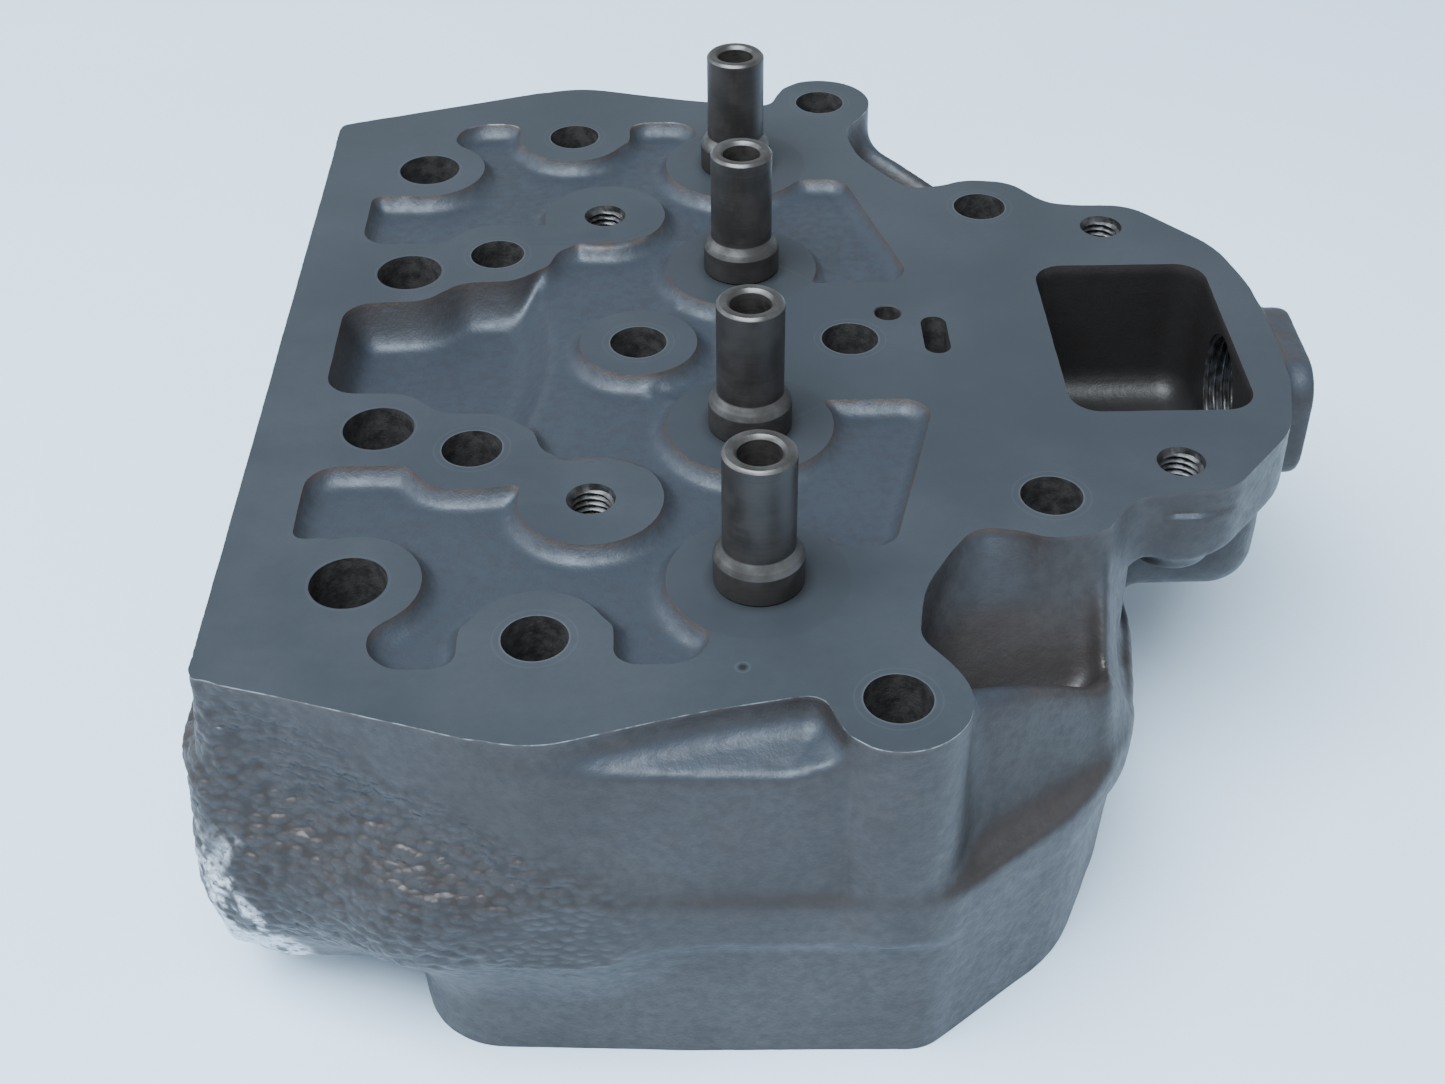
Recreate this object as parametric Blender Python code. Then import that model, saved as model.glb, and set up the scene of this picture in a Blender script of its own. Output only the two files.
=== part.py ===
"""Two-cylinder, two-valve cylinder head: cast body, valve guides, seat rings and plugs.

Frame: origin at the centre of the deck (combustion) face, +X toward the coolant outlet block,
+Y along the crank axis, +Z from the deck to the rocker face.  All dimensions below are in mm.
"""
import math

import bmesh
import bpy
from mathutils import Matrix, Vector

MM = 0.001
GAP = 0.3                     # running gap left between pieces that touch

# ---------------------------------------------------------------- driving dimensions
HEIGHT = 104.0                # deck face to rocker face
PARTING_Z = 55.0              # mould parting plane
FLANGE_T = 20.0               # thickness of the top slab over the overhangs
DRAFT = 3.0                   # how far the lower walls lean out up to the parting plane

STUD_R = 7.4
STUDS = [(-28.0, 0.0), (27.4, 0.0)]
STUD_PAIRS = [(-67.9, 46.0), (-49.0, 115.8), (27.6, 136.7), (69.9, 68.7)]
PUSHROD_R = 8.8
PUSHRODS = [(-91.6, 37.0), (-91.6, 96.1)]
STAND_HOLE = (-38.4, 66.8)    # tapped rocker stand holes
OUTLET_HOLE = (103.0, 56.2)   # tapped holes beside the coolant outlet
TAPPED_R = 4.75
TAPPED_CHAMFER_R = 5.9
TAPPED_DEPTH = 26.0

EXHAUST_Y = 96.8
INTAKE_Y = 37.4
GUIDE_TOP = 35.3              # guide length above the rocker face
GUIDE_COLLAR_H = 8.1
GUIDE_COLLAR_R = 10.3
GUIDE_BODY_R = 8.25
GUIDE_STEM_R = 5.0
GUIDE_BOTTOM_Z = 60.0

CHAMBER_DEPTH = 15.0
SEAT_H = 7.0
INTAKE_SEAT_R = 21.5
EXHAUST_SEAT_R = 19.5
SEAT_WALL = 5.0

POCKET_DEPTH = 4.0
DEEP_POCKET_DEPTH = 12.5

OUTLET_X0, OUTLET_X1 = 80.3, 127.0
OUTLET_HALF_Y = 35.0
OUTLET_FLOOR_Z = 62.0
SIDE_BOSS_X = 146.0
SIDE_BOSS_Z = 85.5
SIDE_HOLE_R = 14.5

PORT_Z = 50.0
PORT_PAD_Y = 110.0            # exhaust pads at +-y, the intake pad at y = 0
MANIFOLD_X = -128.0
CORE_PLUG_R = 13.0
CORE_PLUG_H = 8.0
LEFT_CORE = (66.0, 66.0)      # y, z of the plugs between the ports
RIGHT_CORE = (20.5, 25.0)     # y, z of the plugs under the outlet block
PLUG_HOLE = (48.0, 23.0)      # y, z of the ignition plug holes
GALLERY_Y, GALLERY_Z = 12.4, 44.0
GALLERY_R = 3.0
GALLERY_PLUG_R = 5.6
RIGHT_WALL_X = 95.0


# ---------------------------------------------------------------- outline helpers
def arc(cx, cy, r, a0, a1, steps):
    """Points on an arc, angles in degrees."""
    out = []
    for i in range(steps + 1):
        a = math.radians(a0 + (a1 - a0) * i / steps)
        out.append((cx + r * math.cos(a), cy + r * math.sin(a)))
    return out


def circle(cx, cy, r, steps):
    return arc(cx, cy, r, 0.0, 360.0 - 360.0 / steps, steps - 1)


def fillet(corners, step_deg=18.0):
    """Closed outline from corners (x, y, radius); each corner becomes a tangent arc."""
    out = []
    n = len(corners)
    for i in range(n):
        x, y, r = corners[i]
        p = Vector((x, y))
        a = Vector(corners[i - 1][:2]) - p
        b = Vector(corners[(i + 1) % n][:2]) - p
        la, lb = a.length, b.length
        a.normalize()
        b.normalize()
        half = a.angle(b) / 2.0
        if r <= 0.0 or half > math.radians(89.0):
            out.append((x, y))
            continue
        t = min(r / math.tan(half), 0.49 * la, 0.49 * lb)
        r = t * math.tan(half)
        centre = p + (a + b).normalized() * (r / math.sin(half))
        start = p + a * t - centre
        end = p + b * t - centre
        turn = start.angle_signed(end)
        steps = max(1, int(round(abs(math.degrees(turn)) / step_deg)))
        a0 = math.degrees(math.atan2(start.y, start.x))
        out += arc(centre.x, centre.y, r, a0, a0 - math.degrees(turn), steps)
    return out


def mirrored(half):
    """Close a half outline (y <= 0, ordered from left to right) with its mirror image."""
    far = [(c[0], -c[1]) + tuple(c[2:]) for c in reversed(half)]
    return list(half) + far


def area(outline):
    s = 0.0
    for i in range(len(outline)):
        x0, y0 = outline[i - 1]
        x1, y1 = outline[i]
        s += x0 * y1 - x1 * y0
    return s / 2.0


def grow(outline, d):
    """Move every outline point outward by d along the local normal."""
    sign = 1.0 if area(outline) > 0.0 else -1.0
    out = []
    n = len(outline)
    for i in range(n):
        p = Vector(outline[i])
        a = (p - Vector(outline[i - 1])).normalized()
        b = (Vector(outline[(i + 1) % n]) - p).normalized()
        na = Vector((a.y, -a.x))
        nb = Vector((b.y, -b.x))
        m = na + nb
        m *= sign * d / max(0.6, (1.0 + na.dot(nb)))
        out.append((p.x + m.x, p.y + m.y))
    return out


# ---------------------------------------------------------------- solid helpers
def new_object(name, bm, matrix=None):
    if matrix is not None:
        bmesh.ops.transform(bm, matrix=matrix, verts=bm.verts)
    bmesh.ops.scale(bm, vec=(MM, MM, MM), verts=bm.verts)
    bmesh.ops.recalc_face_normals(bm, faces=bm.faces)
    mesh = bpy.data.meshes.new(name)
    bm.to_mesh(mesh)
    bm.free()
    obj = bpy.data.objects.new(name, mesh)
    bpy.context.scene.collection.objects.link(obj)
    return obj


def loft(name, sections, matrix=None):
    """Solid through stacked sections [(outline, z), ...] of equal point count."""
    bm = bmesh.new()
    rings = []
    for outline, z in sections:
        rings.append([bm.verts.new((x, y, z)) for x, y in outline])
    for lower, upper in zip(rings[:-1], rings[1:]):
        n = len(lower)
        for i in range(n):
            j = (i + 1) % n
            bm.faces.new((lower[i], lower[j], upper[j], upper[i]))
    bm.faces.new(list(reversed(rings[0])))
    bm.faces.new(rings[-1])
    return new_object(name, bm, matrix)


def sweep(name, rings):
    """Solid through a chain of closed 3-D rings of equal point count."""
    bm = bmesh.new()
    loops = [[bm.verts.new(p) for p in ring] for ring in rings]
    for a, b in zip(loops[:-1], loops[1:]):
        n = len(a)
        for i in range(n):
            j = (i + 1) % n
            bm.faces.new((a[i], a[j], b[j]))
            bm.faces.new((a[i], b[j], b[i]))
    bm.faces.new(list(reversed(loops[0])))
    bm.faces.new(loops[-1])
    return new_object(name, bm)


def prism(name, outline, z0, z1, matrix=None):
    return loft(name, [(outline, z0), (outline, z1)], matrix)


def hull(name, points):
    """Convex solid round a set of points."""
    bm = bmesh.new()
    for p in points:
        bm.verts.new(p)
    result = bmesh.ops.convex_hull(bm, input=bm.verts)
    loose = [e for e in result["geom_interior"] if isinstance(e, bmesh.types.BMVert)]
    bmesh.ops.delete(bm, geom=loose, context="VERTS")
    return new_object(name, bm)


def revolve(name, profile, steps, matrix=None):
    """Ring solid: closed profile [(radius, z), ...] turned round the Z axis."""
    bm = bmesh.new()
    rings = []
    for i in range(steps):
        a = 2.0 * math.pi * i / steps
        rings.append([bm.verts.new((r * math.cos(a), r * math.sin(a), z)) for r, z in profile])
    n = len(profile)
    for i in range(steps):
        a, b = rings[i], rings[(i + 1) % steps]
        for k in range(n):
            m = (k + 1) % n
            bm.faces.new((a[k], b[k], b[m], a[m]))
    return new_object(name, bm, matrix)


def stepped(name, levels, steps, matrix=None):
    """Solid of revolution from stacked circles [(radius, z), ...], closed at both ends."""
    return loft(name, [(circle(0.0, 0.0, r, steps), z) for r, z in levels], matrix)


def along_x(x, y, z):
    """Turns a solid built up the Z axis so that it runs along +X from (x, y, z)."""
    return Matrix.Translation((x, y, z)) @ Matrix.Rotation(math.radians(90.0), 4, "Y")


def at(x, y, z=0.0):
    return Matrix.Translation((x, y, z))


def boolean(target, tool, operation):
    tool.hide_render = True
    tool.display_type = "WIRE"
    mod = target.modifiers.new(operation.lower(), "BOOLEAN")
    mod.operation = operation
    mod.solver = "EXACT"
    mod.object = tool
    bpy.context.view_layer.update()
    graph = bpy.context.evaluated_depsgraph_get()
    mesh = bpy.data.meshes.new_from_object(target.evaluated_get(graph))
    target.modifiers.clear()
    old = target.data
    target.data = mesh
    bpy.data.meshes.remove(old)
    bpy.data.objects.remove(tool)


def add(target, *tools):
    for tool in tools:
        boolean(target, tool, "UNION")


def cut(target, *tools):
    for tool in tools:
        boolean(target, tool, "DIFFERENCE")


def weld(obj, distance=0.004):
    """Merge sliver edges left where two cuts meet."""
    bm = bmesh.new()
    bm.from_mesh(obj.data)
    bmesh.ops.remove_doubles(bm, verts=bm.verts, dist=distance * MM)
    bmesh.ops.dissolve_degenerate(bm, dist=distance * MM, edges=bm.edges)
    bm.to_mesh(obj.data)
    bm.free()


def material(name, colour, metallic, roughness):
    mat = bpy.data.materials.new(name)
    mat.use_nodes = True
    bsdf = mat.node_tree.nodes["Principled BSDF"]
    bsdf.inputs["Base Color"].default_value = (*colour, 1.0)
    bsdf.inputs["Metallic"].default_value = metallic
    bsdf.inputs["Roughness"].default_value = roughness
    return mat


def finish(obj, mat, angle=35.0):
    obj.data.materials.clear()
    obj.data.materials.append(mat)
    bm = bmesh.new()
    bm.from_mesh(obj.data)
    for face in bm.faces:
        face.smooth = True
    for edge in bm.edges:
        sharp = len(edge.link_faces) != 2 or edge.calc_face_angle(3.2) > math.radians(angle)
        edge.smooth = not sharp
    bm.to_mesh(obj.data)
    bm.free()


# ---------------------------------------------------------------- outlines of the casting
def top_half(bridged):
    """Near half of the rocker face outline; bridged spans the scoop beside the end stud boss."""
    half = [(-121.5, -126.0, 2.5), (-50.0, -150.0, 32.0)]
    if bridged:
        half += [(2.0, -149.0, 30.0)]
    else:
        half += [(-13.0, -139.2, 60.0), (12.0, -134.6, 6.0), (14.6, -142.6, 12.0)]
    half += [(x, y, 0.0) for x, y in arc(27.6, -136.7, 15.6, 228.0, 395.0, 9)]
    half += [(34.0, -117.5, 9.0), (36.5, -101.5, 30.0), (50.0, -78.6, 11.0), (61.0, -81.2, 8.0)]
    half += [(x, y, 0.0) for x, y in arc(69.9, -68.7, 15.6, 252.0, 316.0, 4)]
    return half


def slab_outline(bridged):
    half = top_half(bridged)
    half += [(87.5, -70.5, 10.0), (98.0, -68.6, 20.0), (113.0, -68.0, 14.0),
             (133.0, -44.0, 30.0), (137.9, -22.0, 40.0)]
    return fillet(mirrored(half))


def middle_outline():
    """Body between the parting plane and the slab: no overhang beyond the right-hand wall."""
    half = top_half(True)
    half += [(92.0, -66.0, 10.0)]
    return fillet(mirrored(half))


def deck_outline():
    half = [(-105.5, -109.5, 14.0), (-81.0, -109.5, 5.0), (-81.0, -143.2, 20.5),
            (-20.0, -146.3, 60.0), (38.0, -147.5, 12.0), (74.0, -119.0, 40.0),
            (90.0, -83.0, 40.0), (94.0, -58.0, 30.0)]
    return fillet(mirrored(half))


def block_section(x, y, r):
    """Rounded section of the manifold block, reaching left to x and out to +-y."""
    return fillet([(x, -y, r), (-78.0, -y, 4.0), (-78.0, y, 4.0), (x, y, r)], 22.5)


# ---------------------------------------------------------------- cast pockets of the rocker face
def cut_pockets(body):
    z0, z1 = HEIGHT - POCKET_DEPTH, HEIGHT + 4.0
    # middle pocket round the centre stud
    middle = fillet([(-53.0, -49.6, 4.0), (-30.0, -49.6, 2.0), (-17.0, -66.0, 2.0), (-10.0, -66.0, 2.0),
                     (-10.0, -30.0, 2.0), (-4.0, -13.0, 4.0), (-4.0, 13.0, 4.0), (-10.0, 30.0, 2.0),
                     (-10.0, 66.0, 2.0), (-17.0, 66.0, 2.0), (-30.0, 49.6, 2.0), (-53.0, 49.6, 4.0)])
    tool = prism("pockets", middle, z0, z1)
    bosses = [(-28.0, 0.0, 15.4)]
    for s in (1.0, -1.0):
        # lobed pocket between the end stud, the outer pushrod hole and the guide pads
        lobes = fillet([(-106.8, -52.4 * s, 8.0), (-81.0, -52.4 * s, 6.0), (-76.0, -61.0 * s, 6.0),
                        (-54.0, -61.0 * s, 3.0), (-48.0, -70.0 * s, 1.0), (-30.0, -72.0 * s, 1.0),
                        (-13.0, -62.0 * s, 1.0), (12.0, -62.0 * s, 1.0), (12.0, -83.0 * s, 1.0),
                        (-11.3, -90.0 * s, 1.0), (-11.3, -124.8 * s, 9.0), (-32.5, -124.8 * s, 8.0),
                        (-33.0, -112.0 * s, 1.0), (-64.5, -112.0 * s, 1.0), (-65.0, -125.2 * s, 8.0),
                        (-85.2, -125.2 * s, 9.5), (-85.2, -104.0 * s, 1.0), (-100.0, -80.2 * s, 1.0),
                        (-106.8, -80.2 * s, 8.0)])
        # slanting pocket on the right of the guides
        slant = fillet([(14.0, -27.8 * s, 9.0), (47.0, -27.8 * s, 7.0), (31.5, -86.5 * s, 7.0),
                        (5.0, -86.5 * s, 1.0), (4.0, -40.0 * s, 1.0)])
        add(tool, prism("lobes", lobes, z0, z1), prism("slant", slant, z0, z1))
        bosses += [(-38.4, -66.8 * s, 17.3), (0.0, -37.4 * s, 21.0), (0.0, -96.8 * s, 21.0),
                   (-67.9, -46.0 * s, 15.3), (-91.6, -96.1 * s, 16.4), (-49.0, -115.8 * s, 15.7)]
    for x, y, r in bosses:
        cut(tool, prism("boss", circle(x, y, r, 32), z0 - 5.0, z1 + 5.0))
    cut(body, tool)
    # deep well over the manifold side, running up a slope into the middle pocket
    half = [(-107.2, -21.2, 8.0), (-86.0, -22.0, 10.0), (-77.0, -31.0, 10.0), (-62.0, -31.6, 10.0),
            (-52.5, -40.0, 6.0), (-47.5, -28.0, 14.0), (-43.8, -6.0, 14.0)]
    well = fillet(mirrored(half))
    floor = []
    for x, y in grow(well, -3.4):
        floor.append((min(x, -58.0 + (x + 58.0) * 0.15), y))
    cut(body, loft("well", [(floor, HEIGHT - DEEP_POCKET_DEPTH), (well, HEIGHT - POCKET_DEPTH + 0.3),
                            (well, HEIGHT + 4.0)]))


# ---------------------------------------------------------------- gas ports
def port_section(x, y, z, half_w, half_h, angle):
    """Oval section across a port that heads in the given plan direction."""
    c, s = math.cos(math.radians(angle)), math.sin(math.radians(angle))
    out = []
    for u, v in circle(0.0, 0.0, 1.0, 14):
        out.append((x - s * u * half_w, y + c * u * half_w, z + v * half_h))
    return out


def cut_port(body, sections):
    cut(body, sweep("port", sections))


def cut_ports(body):
    for s in (1.0, -1.0):
        cut_port(body, [port_section(4.0, EXHAUST_Y * s, 42.0, 13.0, 13.0, 180.0),
                        port_section(-18.0, 113.0 * s, 46.0, 11.5, 14.5, 180.0 - 48.0 * s),
                        port_section(-38.0, 133.0 * s, 48.0, 9.0, 16.0, 180.0 - 22.0 * s),
                        port_section(-68.0, 134.5 * s, 49.0, 9.0, 16.0, 180.0 + 12.0 * s),
                        port_section(-100.0, 118.5 * s, PORT_Z, 12.0, 16.0, 180.0 + 18.0 * s),
                        port_section(-136.0, 110.0 * s, PORT_Z, 15.0, 16.0, 180.0)])
        cut_port(body, [port_section(6.0, INTAKE_Y * s, 42.0, 15.0, 13.0, 180.0),
                        port_section(-26.0, 28.5 * s, 46.0, 14.5, 15.0, 180.0 + 14.0 * s),
                        port_section(-56.0, 14.0 * s, PORT_Z, 15.0, 16.0, 180.0 + 14.0 * s),
                        port_section(-88.0, 5.0 * s, PORT_Z, 14.0, 16.0, 180.0),
                        port_section(-136.0, 5.5 * s, PORT_Z, 14.0, 16.0, 180.0)])


# ---------------------------------------------------------------- casting
def build_body():
    deck = deck_outline()
    body = loft("head_casting", [(deck, 0.0), (grow(deck, DRAFT), PARTING_Z)])
    middle = middle_outline()
    add(body, loft("middle", [(grow(middle, 0.8), PARTING_Z - 8.0), (middle, HEIGHT - 6.0)]))
    add(body, prism("slab", slab_outline(True), HEIGHT - FLANGE_T, HEIGHT))

    # manifold block that overhangs on the left
    add(body, loft("block", [(block_section(-112.0, 122.0, 10.0), 12.0),
                             (block_section(-122.0, 132.0, 12.0), 20.0),
                             (block_section(-126.5, 137.0, 13.0), 42.0),
                             (block_section(-126.0, 135.5, 12.0), 62.0),
                             (block_section(-121.8, 127.0, 4.0), HEIGHT - 6.0)]))
    side = Matrix.Translation((0.0, 0.0, PORT_Z)) @ Matrix.Rotation(math.radians(90.0), 4, "Z")
    side = side @ Matrix.Rotation(math.radians(90.0), 4, "X")
    for y, w in ((-PORT_PAD_Y, 22.0), (0.0, 28.0), (PORT_PAD_Y, 22.0)):
        pad = fillet([(y - w, -32.0, 12.0), (y + w, -32.0, 12.0), (y + w, 32.0, 12.0), (y - w, 32.0, 12.0)])
        add(body, prism("port_pad", pad, MANIFOLD_X, -110.0, side))
    for s in (1.0, -1.0):
        # outer wall of the exhaust port, swelling out of the end face
        spine = [(-108.0, 118.0, 48.0, 21.0), (-76.0, 131.0, 48.0, 22.0), (-42.0, 131.5, 48.0, 22.0),
                 (-24.0, 126.0, 50.0, 18.0)]
        for a, b in zip(spine[:-1], spine[1:]):
            pts = []
            for x, y, z, r in (a, b):
                for lat in (-75.0, -45.0, -15.0, 15.0, 45.0, 75.0):
                    rr = r * math.cos(math.radians(lat))
                    zz = z + r * math.sin(math.radians(lat))
                    pts += [(px, py, zz) for px, py in circle(x, y * s, rr, 16)]
            add(body, hull("port_wall", pts))
        # ridge between the two scoops beside the end stud boss
        ridge = [(34.0, 112.0, 50.0), (40.0, 140.0, 50.0), (80.0, 114.0, 50.0), (88.0, 92.0, 50.0),
                 (38.0, 126.0, 99.0), (45.0, 129.0, 94.0), (78.0, 109.0, 82.0), (84.0, 101.0, 74.0),
                 (70.0, 104.0, 80.0)]
        add(body, hull("ridge", [(x, y * s, z) for x, y, z in ridge]))
        # sloping back wall of the upper scoop and the wall that closes its right side
        back = [(36.0, 84.0, 102.0), (52.0, 78.0, 102.0), (74.0, 82.0, 100.0), (36.0, 108.0, 66.0),
                (60.0, 105.0, 62.0), (86.0, 96.0, 62.0), (36.0, 80.0, 50.0), (90.0, 80.0, 50.0),
                (86.0, 104.0, 50.0), (38.0, 116.0, 50.0)]
        add(body, hull("scoop_back", [(x, y * s, z) for x, y, z in back]))
        side = [(80.0, 66.0, 101.0), (85.4, 68.0, 101.0), (84.0, 80.0, 101.0), (78.0, 84.0, 96.0),
                (92.0, 70.0, 50.0), (90.0, 88.0, 50.0), (84.0, 105.0, 50.0), (80.0, 106.0, 78.0),
                (76.0, 80.0, 50.0), (86.5, 92.0, 74.0)]
        add(body, hull("scoop_side", [(x, y * s, z) for x, y, z in side]))
        # pad that carries the tapped hole beside the outlet
        add(body, loft("outlet_pad", [(circle(103.0, 56.2 * s, 10.0, 20), HEIGHT - 26.0),
                                      (circle(103.0, 56.2 * s, 12.0, 20), HEIGHT - FLANGE_T + 1.0)]))

    # coolant outlet block under the slab
    outer = fillet([(70.0, -46.0, 4.0), (131.5, -46.0, 13.0), (131.5, 46.0, 13.0), (70.0, 46.0, 4.0)])
    lower = grow(outer, -7.0)
    add(body, loft("outlet_block", [(lower, 51.0), (grow(outer, -2.5), 54.0), (outer, 61.0),
                                    (outer, HEIGHT - FLANGE_T + 1.0)]))
    boss = fillet([(-20.5, -17.5, 10.0), (20.5, -17.5, 10.0), (20.5, 17.5, 9.0), (-20.5, 17.5, 9.0)])
    turn = Matrix.Translation((0.0, 0.0, SIDE_BOSS_Z)) @ Matrix.Rotation(math.radians(90.0), 4, "Z")
    turn = turn @ Matrix.Rotation(math.radians(90.0), 4, "X")
    rings = [(grow(boss, 1.0), 126.0), (boss, 144.0), (grow(boss, -1.0), SIDE_BOSS_X)]
    add(body, loft("side_boss", rings, turn))

    # scoop under the edge of the rocker face on each end wall
    for s in (1.0, -1.0):
        scoop = [(-32.0, 145.2), (-13.0, 139.4), (6.0, 135.6), (11.0, 137.0), (14.0, 142.0), (17.2, 148.6),
                 (17.2, 160.0), (-32.0, 160.0)]
        floor = [(-22.0, 147.0), (-10.0, 144.0), (4.0, 140.8), (8.0, 141.8), (10.5, 144.5), (13.0, 149.0),
                 (13.0, 160.0), (-22.0, 160.0)]
        top = [(x, y * s) for x, y in scoop]
        low = [(x, y * s) for x, y in floor]
        cut(body, loft("end_scoop", [(low, HEIGHT - 9.5), (top, HEIGHT), (top, HEIGHT + 3.0)]))
    return body


def machine_body(body):
    cut_pockets(body)
    # openings of the rocker face
    studs = list(STUDS)
    for x, y in STUD_PAIRS:
        studs += [(x, y), (x, -y)]
    for x, y in studs:
        cut(body, prism("stud_hole", circle(x, y, STUD_R, 20), -5.0, HEIGHT + 5.0))
    for x, y in PUSHRODS:
        for s in (1.0, -1.0):
            cut(body, prism("pushrod_hole", circle(x, y * s, PUSHROD_R, 20), -5.0, HEIGHT + 5.0))
    for x, y in (STAND_HOLE, OUTLET_HOLE):
        depth = TAPPED_DEPTH if x < 0.0 else 18.0
        for s in (1.0, -1.0):
            cut(body, stepped("tapped", [(TAPPED_R, HEIGHT - depth), (TAPPED_R, HEIGHT - 1.2),
                                         (TAPPED_CHAMFER_R, HEIGHT), (TAPPED_CHAMFER_R, HEIGHT + 3.0)],
                              16, at(x, y * s)))
    cut(body, prism("oil_hole", circle(38.4, 12.4, 3.5, 14), 20.0, HEIGHT + 5.0))
    slot = fillet([(46.6, -7.6, 3.4), (53.4, -7.6, 3.4), (53.4, 10.0, 3.4), (46.6, 10.0, 3.4)], 30.0)
    cut(body, prism("slot", slot, 64.0, HEIGHT + 5.0))

    # coolant outlet chamber, its side hole and the drilling that feeds it from the deck
    mouth = fillet([(OUTLET_X0, -OUTLET_HALF_Y, 9.0), (OUTLET_X1, -OUTLET_HALF_Y, 10.0),
                    (OUTLET_X1, OUTLET_HALF_Y, 10.0), (OUTLET_X0, OUTLET_HALF_Y, 9.0)])
    cut(body, loft("outlet", [(grow(mouth, -4.0), OUTLET_FLOOR_Z), (grow(mouth, -0.5), OUTLET_FLOOR_Z + 6.0),
                              (mouth, HEIGHT + 5.0)]))
    cut(body, stepped("side_hole", [(SIDE_HOLE_R, 0.0), (SIDE_HOLE_R, 23.8), (SIDE_HOLE_R + 1.2, 25.0),
                                    (SIDE_HOLE_R + 1.2, 30.0)], 28, along_x(121.0, 0.0, SIDE_BOSS_Z)))
    cut(body, prism("coolant_feed", circle(86.5, 0.0, 4.5, 16), -5.0, OUTLET_FLOOR_Z + 4.0))

    # combustion chambers, seat pockets, throats and guide bores
    for s in (1.0, -1.0):
        chamber = fillet([(-26.0, 13.5 * s, 26.0), (27.0, 13.5 * s, 24.0), (44.0, 40.0 * s, 14.0),
                          (44.0, 66.0 * s, 16.0), (25.0, 119.5 * s, 22.0), (-24.0, 119.5 * s, 24.0)])
        cut(body, loft("chamber", [(grow(chamber, 1.5), -5.0), (chamber, 0.0),
                                   (grow(chamber, -2.0), CHAMBER_DEPTH)]))
        for y, r in ((EXHAUST_Y * s, EXHAUST_SEAT_R), (INTAKE_Y * s, INTAKE_SEAT_R)):
            top = CHAMBER_DEPTH + SEAT_H + GAP
            cut(body, prism("seat_pocket", circle(0.0, y, r + GAP, 28), CHAMBER_DEPTH - 2.0, top))
            cut(body, stepped("throat", [(r - SEAT_WALL - 0.6, top - 3.0), (r - SEAT_WALL - 2.5, 34.0),
                                         (r - SEAT_WALL - 5.0, 46.0)], 24, at(0.0, y)))
            cut(body, stepped("guide_bore", [(GUIDE_BODY_R + GAP, 42.0), (GUIDE_BODY_R + GAP, HEIGHT + 5.0)],
                              24, at(0.0, y)))
    cut_ports(body)

    for s in (1.0, -1.0):
        # ignition plug hole in a spot-faced seat on the right wall, opening into a pocket of the chamber
        y, z = PLUG_HOLE[0] * s, PLUG_HOLE[1]
        cut(body, stepped("plug_seat", [(12.0, 0.0), (12.0, 40.0)], 20, along_x(78.0, y, z)))
        cut(body, stepped("plug_hole", [(6.9, 0.0), (6.9, 50.0)], 16, along_x(33.0, y, z)))
        cut(body, stepped("plug_pocket", [(9.5, CHAMBER_DEPTH - 4.0), (9.0, z + 5.0), (6.0, z + 8.5)], 18,
                          at(31.0, y)))
        # core plug seats between the ports and under the outlet block
        y, z = LEFT_CORE[0] * s, LEFT_CORE[1]
        cut(body, stepped("core_seat", [(CORE_PLUG_R + GAP, 0.0), (CORE_PLUG_R + GAP, 40.0)], 24,
                          along_x(-157.0, y, z)))
        y, z = RIGHT_CORE[0] * s, RIGHT_CORE[1]
        cut(body, stepped("core_seat", [(CORE_PLUG_R + GAP, 0.0), (CORE_PLUG_R + GAP, 40.0)], 24,
                          along_x(RIGHT_WALL_X - 10.0, y, z)))
    # cross drilling from the right wall to the oil hole
    cut(body, stepped("gallery", [(GALLERY_R, 0.0), (GALLERY_R, 50.0), (GALLERY_PLUG_R + GAP, 50.1),
                                  (GALLERY_PLUG_R + GAP, 90.0)], 14, along_x(37.0, GALLERY_Y, GALLERY_Z)))
    # flange stud holes above and below each port
    for y in (-PORT_PAD_Y, 0.0, PORT_PAD_Y):
        for z in (PORT_Z - 25.0, PORT_Z + 25.0):
            levels = [(TAPPED_CHAMFER_R, 0.0), (TAPPED_CHAMFER_R, 4.0), (TAPPED_R, 5.2), (TAPPED_R, 24.0)]
            cut(body, stepped("flange_hole", levels, 16, along_x(MANIFOLD_X - 4.0, y, z)))


def build_casting(mat):
    body = build_body()
    machine_body(body)
    weld(body)
    finish(body, mat)
    return body


# ---------------------------------------------------------------- fitted pieces
def valve_guide(name, y, mat):
    """Shouldered sleeve: long body pressed into the head, collar resting on the rocker face."""
    foot = HEIGHT + GAP
    top = HEIGHT + GUIDE_TOP
    r = GUIDE_BODY_R
    profile = [(GUIDE_STEM_R, GUIDE_BOTTOM_Z), (r - 1.6, GUIDE_BOTTOM_Z), (r, GUIDE_BOTTOM_Z + 2.5),
               (r, foot), (GUIDE_COLLAR_R, foot), (GUIDE_COLLAR_R, HEIGHT + GUIDE_COLLAR_H - 1.0),
               (r + 1.3, HEIGHT + GUIDE_COLLAR_H + 0.4), (r, HEIGHT + GUIDE_COLLAR_H + 2.2), (r, top - 0.6),
               (r - 0.7, top), (GUIDE_STEM_R + 0.8, top), (GUIDE_STEM_R, top - 0.9)]
    finish(revolve(name, profile, 32, at(0.0, y)), mat, 30.0)


def seat_insert(name, y, r, mat):
    z0 = CHAMBER_DEPTH + 0.2
    z1 = CHAMBER_DEPTH + SEAT_H
    profile = [(r - SEAT_WALL, z0 + 3.4), (r - 2.0, z0), (r, z0), (r, z1 - 0.6), (r - 0.6, z1),
               (r - SEAT_WALL, z1)]
    finish(revolve(name, profile, 36, at(0.0, y)), mat, 25.0)


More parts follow.
